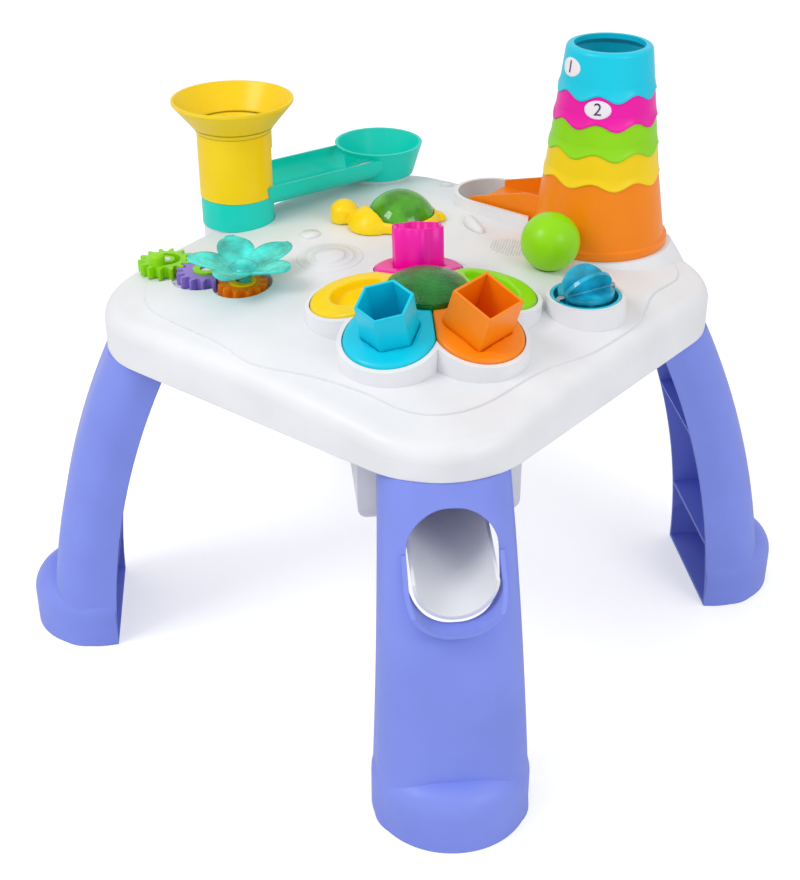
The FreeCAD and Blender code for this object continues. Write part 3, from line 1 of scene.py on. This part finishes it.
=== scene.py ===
import math
import json
import bpy
import bmesh
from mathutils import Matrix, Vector

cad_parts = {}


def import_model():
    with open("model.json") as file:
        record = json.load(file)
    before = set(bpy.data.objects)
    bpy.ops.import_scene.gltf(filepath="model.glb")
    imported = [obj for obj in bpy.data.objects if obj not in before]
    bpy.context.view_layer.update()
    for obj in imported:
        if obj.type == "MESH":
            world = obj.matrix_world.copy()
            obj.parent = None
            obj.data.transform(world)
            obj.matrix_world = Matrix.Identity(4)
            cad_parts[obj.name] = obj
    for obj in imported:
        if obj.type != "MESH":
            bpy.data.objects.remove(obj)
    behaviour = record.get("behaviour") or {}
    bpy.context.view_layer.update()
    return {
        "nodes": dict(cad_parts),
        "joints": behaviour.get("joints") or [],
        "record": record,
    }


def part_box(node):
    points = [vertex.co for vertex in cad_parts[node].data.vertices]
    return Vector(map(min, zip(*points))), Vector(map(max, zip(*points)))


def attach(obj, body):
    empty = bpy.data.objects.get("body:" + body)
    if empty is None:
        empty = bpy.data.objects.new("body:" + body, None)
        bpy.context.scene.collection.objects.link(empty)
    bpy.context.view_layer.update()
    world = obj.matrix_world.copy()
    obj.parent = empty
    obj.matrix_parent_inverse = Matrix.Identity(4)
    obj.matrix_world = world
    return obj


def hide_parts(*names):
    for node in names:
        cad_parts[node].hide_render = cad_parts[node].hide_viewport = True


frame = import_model()

# Camera, as the photograph was taken
PHOTO_WIDTH = 800
PHOTO_HEIGHT = 880
FOCAL_PIXELS = 1492.7
SENSOR_MM = 36.0
CAMERA_AZIMUTH = math.radians(38.85)
CAMERA_ELEVATION = math.radians(29.98)
CAMERA_DISTANCE = 1.242
TARGET_ASIDE = -0.0081
TARGET_Z = 0.1492

# Lamps: place, power, size
LAMPS = {"key": ((-0.5, -1.2, 1.6), 10.5, 0.7), "side": ((1.4, -0.2, 1.1), 4.0, 0.6)}
LAMP_AIM = Vector((0, 0, 0.25))

# Floor and the light from all round
FLOOR_HALF = 6.0
FLOOR_COLOUR = (0.85, 0.85, 0.86, 1.0)
FLOOR_ROUGH = 0.9
FLOOR_GLOW = 0.42
WORLD_COLOUR = (1.0, 1.0, 1.0, 1.0)
WORLD_LIGHT = 0.74
WORLD_SEEN = 1.0

# Edges of a carried-over node that stay sharp
SHARP_ANGLE = math.radians(32)

# Crown of the table top, a large ball's surface
CROWN_TOP = Vector((-0.042, 0.042, 0.308))
CROWN_R = 1.470
PLATEAU_STEP = 0.0014

# Cup tower
TOWER_X = 0.0752
TOWER_Y = 0.1513
TOWER_TOP_Z = 0.461
TOWER_TOP_R = 0.0334
TOWER_TAPER = 0.12
CUP_EDGES = {"cup_blue": 0.4285, "cup_pink": 0.407, "cup_lime": 0.384, "cup_yellow": 0.361}
CUP_BODIES = {
    "cup_blue": "blue_cup",
    "cup_pink": "pink_cup",
    "cup_lime": "lime_cup",
    "cup_yellow": "yellow_cup",
}

# Wavy rim of a cup: its bead is a row of heights over the edge, each with a share of BEAD_R
WAVE_COUNT = 8
WAVE_HALF = 0.0026
WAVE_DROP = 0.0008
RIM_POINTS = 288
BEAD_R = 0.0005
BEAD = (
    (0.0, 0.0), (-0.0003, 0.0), (-0.0009, 0.6), (-0.0007, 1.3),
    (0.0002, 1.5), (0.0012, 1.2), (0.0019, 0.5),
)
SKIRT_LAP = 0.0002
SKIRT_RISE = 0.0070

# Oval badges: numeral, angle in degrees and height
BADGES = {"cup_blue": ("1", -113, 0.447), "cup_pink": ("2", -68, 0.4195)}
BADGE_HALF_WIDTH = 0.0105
BADGE_HALF_HEIGHT = 0.0070
BADGE_POINTS = 48
# Badge's rings from its edge in: share of its size and how proud
BADGE_RINGS = ((1.0, -0.0002), (1.0, 0.0003), (0.94, 0.0005), (0.6, 0.0005), (0.2, 0.0005))
NUMERAL_SIZE = BADGE_HALF_HEIGHT * 1.9
NUMERAL_THICK = 0.0002
NUMERAL_PROUD = 0.0006

# Flower spinner on the orange gear
FLOWER_PETALS = 5
FLOWER_TURN = math.radians(4.8)
FLOWER_PETAL_LENGTH = 0.036
FLOWER_PETAL_HALF = 0.0145
FLOWER_PETAL_START = 0.006
FLOWER_ALONG = 18
FLOWER_ACROSS = 12
FLOWER_ROOT = 0.10
FLOWER_SPREAD = 0.86
FLOWER_FULLNESS = 0.55
FLOWER_BEND = 1.2
FLOWER_RISE = math.radians(16)
FLOWER_CUP = 0.0035
FLOWER_SINK = 0.006
FLOWER_THICK = 0.0032
FLOWER_THINNING = 0.7
FLOWER_DOT_RISE = 0.0011
FLOWER_DOT_ROWS = 26.0
FLOWER_DOT_COLUMNS = 11.0
FLOWER_DOT_FADE = 0.3
FLOWER_POINTS = 48

# Flower's hub: radius of its post, then radius and height over the petals' seat
FLOWER_POST_R = 0.0055
FLOWER_HUB = (
    (0.0055, -0.003), (0.009, -0.002), (0.0115, 0.0), (0.0115, 0.002), (0.0095, 0.0042),
    (0.0075, 0.0046), (0.0068, 0.0058), (0.0045, 0.0072), (0.001, 0.0078),
)

# Star block
STAR_LOBES = 6
STAR_LOBE = 0.085
STAR_MEAN_R = 0.0190
STAR_WALL = 0.0020
STAR_POINTS = 144
STAR_FOOT_INSET = 0.001
STAR_FOOT_RISE = 0.0008
STAR_LIP = 0.0004
STAR_LIP_RISE = 0.0006
STAR_LIP_DROP = 0.0001

# Moulded pieces with soft corners: voxel size and rounds of smoothing
SOFTENED = {
    "turtle_body": (0.0009, 12),
    "petal_pink": (0.0010, 26),
    "petal_yellow": (0.0010, 26),
    "petal_blue": (0.0010, 26),
    "petal_orange": (0.0010, 26),
    "petal_lime": (0.0010, 26),
}
SOFT_FACTOR = 0.5

# Small round reliefs of the table top: x, y, radius, height, steps
RELIEFS = {
    "stepped_disc": (-0.058, -0.029, 0.027, 0.0016, 3),
    "small_bump": (-0.100, -0.005, 0.008, 0.0022, 1),
    "round_emboss": (-0.091, 0.166, 0.006, 0.0018, 1),
}
RELIEF_POINTS = 64
RELIEF_SINK = 0.0004
RELIEF_SHOULDER = 0.025
RELIEF_SHELF = 0.07
RELIEF_SPREAD = 0.6
RELIEF_CENTRE = 0.1

# Raised bar of the table top, which bends round a centre, with angles in degrees
BAR_X = 0.014
BAR_Y = 0.125
BAR_BEND_R = 0.040
BAR_START = 205
BAR_END = 262
BAR_HALF_WIDTH = 0.0055
BAR_RISE = 0.007
BAR_SINK = 0.0005
BAR_STEPS = 36
BAR_POINTS = 12
BAR_END_SHARE = 0.02
BAR_ROUND_ENDS = 0.35
BAR_ROUND_BACK = 0.6

# Patch of small raised dots
PATCH_X = 0.040
PATCH_Y = 0.078
PATCH_COUNT = 7
DOT_GAP = 0.0024
DOT_R = 0.0008
DOT_TOP_SHARE = 0.5
DOT_POINTS = 8
DOT_SINK = 0.0003
DOT_RISE = 0.0007


def linear(rgb):
    """sRGB values as the shader's linear ones."""
    low = [c / 12.92 if c <= 0.04045 else ((c + 0.055) / 1.055) ** 2.4 for c in rgb]
    return (low[0], low[1], low[2], 1.0)


def crown(x, y):
    """Height of the crowned top."""
    away = (x - CROWN_TOP.x) ** 2 + (y - CROWN_TOP.y) ** 2
    return CROWN_TOP.z - CROWN_R + math.sqrt(CROWN_R ** 2 - away)


def link(name, data):
    """New object in the scene."""
    obj = bpy.data.objects.new(name, data)
    bpy.context.collection.objects.link(obj)
    return obj


def slot_of(node):
    """Material slot that the record gives a node."""
    return next(part["material_slot"] for part in frame["record"]["subparts"] if part["node"] == node)


def joint_axis(name):
    """Direction of a joint's axis, of length 1."""
    axis = next(joint["axis"] for joint in frame["joints"] if joint["name"] == name)
    return Vector(axis).normalized()


# Materials
def new_material(name):
    material = bpy.data.materials.new(name)
    material.use_nodes = True
    tree = material.node_tree
    shader = tree.nodes["Principled BSDF"]
    return material, tree, shader


def place(tree, kind, **values):
    """New shader node with its sockets' values."""
    node = tree.nodes.new(kind)
    for key, value in values.items():
        node.inputs[key].default_value = value
    return node


def vary_colour(tree, shader, rgb, scale, spread):
    """Base colour that drifts a little over the piece, as moulded plastic does."""
    coords = tree.nodes.new("ShaderNodeTexCoord")
    noise = place(tree, "ShaderNodeTexNoise", Scale=scale, Detail=3.0)
    ramp = tree.nodes.new("ShaderNodeValToRGB")
    dark = [max(0.0, c * (1 - spread)) for c in rgb]
    pale = [min(1.0, c + spread / 3) for c in rgb]
    ramp.color_ramp.elements[0].position = 0.3
    ramp.color_ramp.elements[0].color = linear(dark)
    ramp.color_ramp.elements[1].position = 0.7
    ramp.color_ramp.elements[1].color = linear(pale)
    tree.links.new(coords.outputs["Object"], noise.inputs["Vector"])
    tree.links.new(noise.outputs["Fac"], ramp.inputs["Fac"])
    tree.links.new(ramp.outputs["Color"], shader.inputs["Base Color"])
    return coords


def vary_gloss(tree, shader, coords, rough, scale):
    """Roughness that drifts about its mean."""
    noise = place(tree, "ShaderNodeTexNoise", Scale=scale, Detail=4.0)
    spread = place(tree, "ShaderNodeMapRange")
    spread.inputs["To Min"].default_value = rough * 0.8
    spread.inputs["To Max"].default_value = rough * 1.25
    tree.links.new(coords.outputs["Object"], noise.inputs["Vector"])
    tree.links.new(noise.outputs["Fac"], spread.inputs["Value"])
    tree.links.new(spread.outputs["Result"], shader.inputs["Roughness"])


def grain(tree, shader, coords, scale, depth, edge):
    """Fine moulded grain over edges that are rounded a little."""
    noise = place(tree, "ShaderNodeTexNoise", Scale=scale, Detail=2.0)
    bump = place(tree, "ShaderNodeBump", Strength=depth, Distance=0.0003)
    tree.links.new(coords.outputs["Object"], noise.inputs["Vector"])
    tree.links.new(noise.outputs["Fac"], bump.inputs["Height"])
    if edge:
        round_edge = place(tree, "ShaderNodeBevel", Radius=edge)
        tree.links.new(round_edge.outputs["Normal"], bump.inputs["Normal"])
    tree.links.new(bump.outputs["Normal"], shader.inputs["Normal"])


def plastic(name, rgb, rough=0.32, coat=0.05, depth=0.12, edge=0.0007):
    """Moulded plastic, opaque."""
    material, tree, shader = new_material(name)
    coords = vary_colour(tree, shader, rgb, scale=14.0, spread=0.035)
    vary_gloss(tree, shader, coords, rough, scale=45.0)
    grain(tree, shader, coords, scale=1400.0, depth=depth, edge=edge)
    shader.inputs["Specular IOR Level"].default_value = 0.3
    shader.inputs["Coat Weight"].default_value = coat
    shader.inputs["Coat Roughness"].default_value = 0.12
    return material


def clear_plastic(name, rgb, clear, rough, speck_scale, speck):
    """Tinted glossy plastic with small moulded specks, clear by the share that clear gives."""
    material, tree, shader = new_material(name)
    coords = vary_colour(tree, shader, rgb, scale=60.0, spread=0.25)
    vary_gloss(tree, shader, coords, rough, scale=80.0)
    cells = place(tree, "ShaderNodeTexVoronoi", Scale=speck_scale)
    bump = place(tree, "ShaderNodeBump", Strength=speck, Distance=0.0006)
    tree.links.new(coords.outputs["Object"], cells.inputs["Vector"])
    tree.links.new(cells.outputs["Distance"], bump.inputs["Height"])
    tree.links.new(bump.outputs["Normal"], shader.inputs["Normal"])
    shader.inputs["Transmission Weight"].default_value = clear
    shader.inputs["IOR"].default_value = 1.49
    return material


def metal(name, rgb, rough):
    """Plated metal with a fine grain."""
    material, tree, shader = new_material(name)
    coords = vary_colour(tree, shader, rgb, scale=90.0, spread=0.08)
    vary_gloss(tree, shader, coords, rough, scale=200.0)
    grain(tree, shader, coords, scale=2500.0, depth=0.15, edge=0)
    shader.inputs["Metallic"].default_value = 1.0
    return material


MATERIALS = {
    "white_plastic": plastic("white_moulding", (0.925, 0.93, 0.945), rough=0.38, coat=0.08),
    "leg_plastic": plastic("periwinkle_moulding", (0.51, 0.575, 0.93), rough=0.42),
    "teal_plastic": plastic("teal_moulding", (0.02, 0.86, 0.79)),
    "yellow_plastic": plastic("yellow_moulding", (1.0, 0.85, 0.02)),
    "orange_plastic": plastic("orange_moulding", (1.0, 0.54, 0.02)),
    "lime_plastic": plastic("lime_moulding", (0.58, 0.88, 0.02)),
    "pink_plastic": plastic("pink_moulding", (0.96, 0.01, 0.67)),
    "blue_plastic": plastic("cyan_moulding", (0.01, 0.80, 0.91)),
    "purple_plastic": plastic("purple_moulding", (0.60, 0.50, 0.86)),
    "clear_green": clear_plastic("clear_green", (0.01, 0.52, 0.10), 0.18, 0.09, 620.0, 0.9),
    "clear_teal": clear_plastic("clear_teal", (0.22, 0.90, 0.86), 0.0, 0.16, 420.0, 0.8),
    "clear_blue": clear_plastic("clear_blue", (0.10, 0.76, 0.92), 0.22, 0.10, 300.0, 0.1),
    "steel": metal("plated_steel", (0.72, 0.72, 0.74), 0.28),
    "board_green": plastic("board_laminate", (0.05, 0.34, 0.14), rough=0.5, coat=0.2),
    "battery_metal": plastic("battery_sleeve", (0.16, 0.17, 0.20), rough=0.3, coat=0.3),
    "black_plastic": plastic("black_moulding", (0.06, 0.06, 0.07), rough=0.5, coat=0.0),
}
TURTLE_CLEAR = clear_plastic("turtle_clear", (0.42, 0.86, 0.16), 0.55, 0.05, 160.0, 0.15)
BADGE_WHITE = plastic("badge_print", (0.95, 0.93, 0.96), rough=0.45, coat=0.0, edge=0)
NUMERAL_INK = plastic("numeral_ink", (0.30, 0.22, 0.42), rough=0.5, coat=0.0, edge=0)


def dress_nodes():
    """Every carried-over node takes its slot's material and smooth rounds."""
    for part in frame["record"]["subparts"]:
        node = frame["nodes"][part["node"]]
        material = MATERIALS[part["material_slot"]]
        if part["node"] == "turtle_dome":
            material = TURTLE_CLEAR
        node.data.materials.clear()
        node.data.materials.append(material)
        for polygon in node.data.polygons:
            polygon.use_smooth = True
        node.data.set_sharp_from_angle(angle=SHARP_ANGLE)


# Pieces made here
def piece(name, mesh_maker, material, body):
    """Smooth-shaded mesh piece that rides on a body."""
    mesh = bpy.data.meshes.new(name)
    shape = bmesh.new()
    mesh_maker(shape)
    bmesh.ops.recalc_face_normals(shape, faces=shape.faces)
    shape.to_mesh(mesh)
    shape.free()
    mesh.materials.append(material)
    for polygon in mesh.polygons:
        polygon.use_smooth = True
    obj = link(name, mesh)
    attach(obj, body)
    return obj


def rings(shape, rows, closed_start=True, closed_end=True):
    """Skin between rows of points that all go once round."""
    made = [[shape.verts.new(point) for point in row] for row in rows]
    for low, high in zip(made, made[1:]):
        count = len(low)
        for k in range(count):
            after = (k + 1) % count
            shape.faces.new((low[k], low[after], high[after], high[k]))
    if closed_start:
        shape.faces.new(list(reversed(made[0])))
    if closed_end:
        shape.faces.new(made[-1])


def turns(count):
    """Even angles once round."""
    return [2 * math.pi * k / count for k in range(count)]


def circle_row(x, y, radius, count, height):
    """One row round a centre: height is a function of the place."""
    row = []
    for turn in turns(count):
        px = x + radius * math.cos(turn)
        py = y + radius * math.sin(turn)
        row.append((px, py, height(px, py)))
    return row


# Reliefs of the table top
def relief(name, make):
    piece(name, make, MATERIALS["white_plastic"], "table")


def relief_disc(name):
    """Low round relief with soft steps, set on the crowned top."""
    x, y, radius, rise, steps = RELIEFS[name]

    def ring(reach, lift):
        return circle_row(x, y, reach, RELIEF_POINTS, lambda px, py: crown(px, py) + lift)

    def make(shape):
        rows = []
        for step in range(steps):
            outer = radius * (1 - step / (steps + RELIEF_SPREAD))
            low = PLATEAU_STEP + rise * step / steps
            high = PLATEAU_STEP + rise * (step + 1) / steps
            rows.append(ring(outer, low - RELIEF_SINK))
            rows.append(ring(outer * (1 - RELIEF_SHOULDER), (low + high) / 2))
            rows.append(ring(outer * (1 - RELIEF_SHELF), high))
        rows.append(ring(radius * RELIEF_CENTRE, high))
        rings(shape, rows)
    relief(name, make)


def crescent_bar():
    """Raised bar that bends round a centre, with round ends."""
    def make(shape):
        rows = []
        for k in range(BAR_STEPS + 1):
            share = k / BAR_STEPS
            turn = math.radians(BAR_START + (BAR_END - BAR_START) * share)
            swell = math.sin(math.pi * min(1.0, max(BAR_END_SHARE, share))) ** BAR_ROUND_ENDS
            row = []
            for angle in turns(BAR_POINTS):
                reach = BAR_BEND_R + BAR_HALF_WIDTH * swell * math.cos(angle)
                px = BAR_X + reach * math.cos(turn)
                py = BAR_Y + reach * math.sin(turn)
                back = max(0.0, math.sin(angle)) ** BAR_ROUND_BACK
                lift = PLATEAU_STEP - BAR_SINK + BAR_RISE * swell * back
                row.append((px, py, crown(px, py) + lift))
            rows.append(row)
        rings(shape, rows)
    relief("crescent_bar", make)


def dotted_patch():
    """Patch of small raised dots, in offset rows."""
    def ring(x, y, radius, lift):
        return circle_row(x, y, radius, DOT_POINTS, lambda px, py: crown(px, py) + PLATEAU_STEP + lift)

    def make(shape):
        for i in range(-PATCH_COUNT, PATCH_COUNT + 1):
            for j in range(-PATCH_COUNT, PATCH_COUNT + 1):
                px = PATCH_X + DOT_GAP * (i + 0.5 * (j % 2))
                py = PATCH_Y + DOT_GAP * j
                if math.hypot(px - PATCH_X, py - PATCH_Y) > DOT_GAP * PATCH_COUNT:
                    continue
                rings(shape, [ring(px, py, DOT_R, -DOT_SINK), ring(px, py, DOT_R * DOT_TOP_SHARE, DOT_RISE)])
    relief("dotted_patch", make)


# Cup tower
def tower_r(z):
    return TOWER_TOP_R + TOWER_TAPER * (TOWER_TOP_Z - z)


def on_tower(turn, z, proud):
    """Point on the tower's cone, or proud of it."""
    reach = tower_r(z) + proud
    return (TOWER_X + reach * math.cos(turn), TOWER_Y + reach * math.sin(turn), z)


def wave_z(edge_z, turn):
    """Height of a cup's wavy edge at an angle."""
    return edge_z - WAVE_DROP - WAVE_HALF * math.cos(WAVE_COUNT * turn)


def cup_skirt(cup):
    """Wavy lower rim of a cup, with a thin raised bead along its edge."""
    edge_z = CUP_EDGES[cup]

    def make(shape):
        rows = []
        for lift, share in BEAD:
            proud = SKIRT_LAP + BEAD_R * share
            rows.append([on_tower(turn, wave_z(edge_z, turn) + lift, proud) for turn in turns(RIM_POINTS)])
        rows.append([on_tower(turn, edge_z + SKIRT_RISE, SKIRT_LAP / 4) for turn in turns(RIM_POINTS)])
        rings(shape, rows, closed_start=False, closed_end=False)
    slot = slot_of(cup)
    piece(cup + "_rim", make, MATERIALS[slot], CUP_BODIES[cup])


def cup_badge(cup):
    """White oval badge with a plain numeral, bent round the cup."""
    numeral, degrees, height = BADGES[cup]
    middle = math.radians(degrees)
    body = CUP_BODIES[cup]

    def at(x, z, proud):
        return on_tower(middle + x / tower_r(height), height + z, proud)

    def make(shape):
        rows = []
        for share, proud in BADGE_RINGS:
            row = []
            for turn in turns(BADGE_POINTS):
                x = share * BADGE_HALF_WIDTH * math.cos(turn)
                z = share * BADGE_HALF_HEIGHT * math.sin(turn)
                row.append(at(x, z, proud))
            rows.append(row)
        rings(shape, rows)
    piece(cup + "_badge", make, BADGE_WHITE, body)
    text = bpy.data.curves.new(cup + "_numeral", "FONT")
    text.body = numeral
    text.align_x = "CENTER"
    text.align_y = "CENTER"
    text.size = NUMERAL_SIZE
    text.extrude = NUMERAL_THICK
    written = bpy.data.objects.new(cup + "_text", text)
    mesh = bpy.data.meshes.new_from_object(written)
    for vertex in mesh.vertices:
        x, z, depth = vertex.co
        vertex.co = at(x, z, NUMERAL_PROUD + depth)
    mesh.materials.clear()
    mesh.materials.append(NUMERAL_INK)
    bpy.data.objects.remove(written)
    number = link(cup + "_numeral", mesh)
    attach(number, body)


# Flower spinner
def petal_point(along, across, lift):
    """Point of a petal that lies along x: along and across are shares of its length and half width."""
    fullness = math.sin(math.pi * min(1.0, FLOWER_ROOT + FLOWER_SPREAD * along)) ** FLOWER_FULLNESS
    x = FLOWER_PETAL_START + FLOWER_PETAL_LENGTH * along
    y = FLOWER_PETAL_HALF * fullness * across
    z = math.sin(FLOWER_RISE) * FLOWER_PETAL_LENGTH * along ** FLOWER_BEND
    z += FLOWER_CUP * across * across * math.sin(math.pi * along) + lift
    if lift > 0:
        row = max(0.0, math.sin(along * FLOWER_DOT_ROWS))
        column = max(0.0, math.cos(across * FLOWER_DOT_COLUMNS))
        z += FLOWER_DOT_RISE * row * column * (1 - abs(across)) ** FLOWER_DOT_FADE
    return x, y, z


def petal_skin(shape, at):
    """Upper and under skin of a petal, joined round their edge."""
    across = [-1 + 2 * j / FLOWER_ACROSS for j in range(FLOWER_ACROSS + 1)]
    halves = [FLOWER_THICK / 2 * (1 - FLOWER_THINNING * abs(share) ** 4) for share in across]
    top = []
    under = []
    for i in range(FLOWER_ALONG + 1):
        along = i / FLOWER_ALONG
        top.append([shape.verts.new(at(along, a, half)) for a, half in zip(across, halves)])
        under.append([shape.verts.new(at(along, a, -half)) for a, half in zip(across, halves)])
    for i in range(FLOWER_ALONG):
        for j in range(FLOWER_ACROSS):
            shape.faces.new((top[i][j], top[i + 1][j], top[i + 1][j + 1], top[i][j + 1]))
            shape.faces.new((under[i][j], under[i][j + 1], under[i + 1][j + 1], under[i + 1][j]))
    for i in range(FLOWER_ALONG):
        for j in (0, FLOWER_ACROSS):
            shape.faces.new((top[i][j], under[i][j], under[i + 1][j], top[i + 1][j]))
    for i in (0, FLOWER_ALONG):
        for j in range(FLOWER_ACROSS):
            shape.faces.new((top[i][j], top[i][j + 1], under[i][j + 1], under[i][j]))


def flower():
    """Spinner: five cupped petals with raised dots about a stepped hub, on its post."""
    low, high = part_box("flower_spinner")
    centre = (low + high) / 2
    seat = high.z - FLOWER_PETAL_LENGTH * math.sin(FLOWER_RISE) - FLOWER_CUP - FLOWER_SINK

    def make(shape):
        for petal in range(FLOWER_PETALS):
            turn = FLOWER_TURN + 2 * math.pi * petal / FLOWER_PETALS
            cos_t = math.cos(turn)
            sin_t = math.sin(turn)

            def at(along, across, lift):
                x, y, z = petal_point(along, across, lift)
                return (centre.x + x * cos_t - y * sin_t, centre.y + x * sin_t + y * cos_t, seat + z)
            petal_skin(shape, at)
        profile = [(FLOWER_POST_R, low.z)] + [(radius, seat + rise) for radius, rise in FLOWER_HUB]
        rows = [circle_row(centre.x, centre.y, r, FLOWER_POINTS, lambda px, py: z) for r, z in profile]
        rings(shape, rows)
    obj = piece("flower_petals", make, MATERIALS["clear_teal"], "orange_gear_set")
    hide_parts("flower_spinner")


def star_block():
    """Open cup with six soft lobes, in the place of the plain star solid."""
    points = [vertex.co for vertex in frame["nodes"]["star_block"].data.vertices]
    middle = sum(points, Vector()) / len(points)
    axis = joint_axis("star_lift")
    side = axis.cross(Vector((0, 0, 1))).normalized()
    other = axis.cross(side)
    heights = [(point - middle).dot(axis) for point in points]
    bottom = min(heights)
    top = max(heights)
    flat = [point - middle - axis * height for point, height in zip(points, heights)]
    tip = max(flat, key=lambda away: away.length)
    phase = math.atan2(tip.dot(other), tip.dot(side))

    def row(height, inset):
        made = []
        for turn in turns(STAR_POINTS):
            lobe = 1 + STAR_LOBE * math.cos(STAR_LOBES * (turn - phase))
            reach = STAR_MEAN_R * lobe - inset
            aside = side * reach * math.cos(turn)
            across = other * reach * math.sin(turn)
            made.append(middle + aside + across + axis * height)
        return made

    def make(shape):
        rings(shape, [
            row(bottom, STAR_FOOT_INSET),
            row(bottom + STAR_FOOT_RISE, 0.0),
            row(top - STAR_LIP_RISE, 0.0),
            row(top - STAR_LIP_DROP, STAR_LIP),
            row(top, STAR_WALL / 2),
            row(top - STAR_LIP_DROP, STAR_WALL - STAR_LIP),
            row(top - STAR_LIP_RISE, STAR_WALL),
            row(bottom + STAR_WALL, STAR_WALL),
        ])
    obj = piece("star_cup", make, MATERIALS["pink_plastic"], "star")
    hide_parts("star_block")


def soften(node):
    """Moulded copy of a node of the table with its corners softly rounded."""
    voxel, rounds = SOFTENED[node]
    obj = link(node + "_moulded", frame["nodes"][node].data.copy())
    remesh = obj.modifiers.new("even", "REMESH")
    remesh.mode = "VOXEL"
    remesh.voxel_size = voxel
    remesh.use_smooth_shade = True
    smooth = obj.modifiers.new("soft", "SMOOTH")
    smooth.factor = SOFT_FACTOR
    smooth.iterations = rounds
    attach(obj, "table")
    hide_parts(node)


# Stage
def floor():
    """Pale floor that keeps a soft shadow, and reads white to the camera."""
    half = FLOOR_HALF
    corners = [(-half, -half, 0), (half, -half, 0), (half, half, 0), (-half, half, 0)]
    mesh = bpy.data.meshes.new("floor")
    mesh.from_pydata(corners, [], [(0, 1, 2, 3)])
    obj = link("floor", mesh)
    material, tree, shader = new_material("pale_floor")
    shader.inputs["Base Color"].default_value = FLOOR_COLOUR
    shader.inputs["Roughness"].default_value = FLOOR_ROUGH
    glow = tree.nodes.new("ShaderNodeEmission")
    path = tree.nodes.new("ShaderNodeLightPath")
    share = tree.nodes.new("ShaderNodeMath")
    share.operation = "MULTIPLY"
    share.inputs[1].default_value = FLOOR_GLOW
    both = tree.nodes.new("ShaderNodeAddShader")
    tree.links.new(path.outputs["Is Camera Ray"], share.inputs[0])
    tree.links.new(share.outputs["Value"], glow.inputs["Strength"])
    tree.links.new(shader.outputs["BSDF"], both.inputs[0])
    tree.links.new(glow.outputs["Emission"], both.inputs[1])
    tree.links.new(both.outputs["Shader"], tree.nodes["Material Output"].inputs["Surface"])
    mesh.materials.append(material)


def world():
    """Even light from all round, white where the camera sees it."""
    studio = bpy.data.worlds.new("studio")
    bpy.context.scene.world = studio
    studio.use_nodes = True
    tree = studio.node_tree
    back = tree.nodes["Background"]
    back.inputs["Color"].default_value = WORLD_COLOUR
    path = tree.nodes.new("ShaderNodeLightPath")
    strength = tree.nodes.new("ShaderNodeMapRange")
    strength.inputs["To Min"].default_value = WORLD_LIGHT
    strength.inputs["To Max"].default_value = WORLD_SEEN
    tree.links.new(path.outputs["Is Camera Ray"], strength.inputs["Value"])
    tree.links.new(strength.outputs["Result"], back.inputs["Strength"])


def lamp(name):
    """Square area lamp that shines on the table."""
    where, power, size = LAMPS[name]
    light = bpy.data.lights.new(name, "AREA")
    light.energy = power
    light.size = size
    obj = link(name, light)
    obj.location = where
    aim = LAMP_AIM - Vector(where)
    obj.rotation_euler = aim.to_track_quat("-Z", "Y").to_euler()


def camera():
    """Camera at the photograph's viewing angle."""
    right = Vector((math.cos(CAMERA_AZIMUTH), math.sin(CAMERA_AZIMUTH), 0))
    target = right * TARGET_ASIDE + Vector((0, 0, TARGET_Z))
    level = math.cos(CAMERA_ELEVATION)
    back = Vector((
        math.sin(CAMERA_AZIMUTH) * level,
        -math.cos(CAMERA_AZIMUTH) * level,
        math.sin(CAMERA_ELEVATION),
    ))
    data = bpy.data.cameras.new("camera")
    data.sensor_width = SENSOR_MM
    data.lens = FOCAL_PIXELS * SENSOR_MM / max(PHOTO_WIDTH, PHOTO_HEIGHT)
    obj = link("camera", data)
    obj.location = target + back * CAMERA_DISTANCE
    obj.rotation_euler = (-back).to_track_quat("-Z", "Y").to_euler()
    bpy.context.scene.camera = obj


dress_nodes()
for cup_name in CUP_EDGES:
    cup_skirt(cup_name)
for cup_name in BADGES:
    cup_badge(cup_name)
flower()
star_block()
for node_name in SOFTENED:
    soften(node_name)
for relief_name in RELIEFS:
    relief_disc(relief_name)
crescent_bar()
dotted_patch()
floor()
world()
for lamp_name in LAMPS:
    lamp(lamp_name)
camera()
bpy.context.scene.view_settings.view_transform = "Standard"
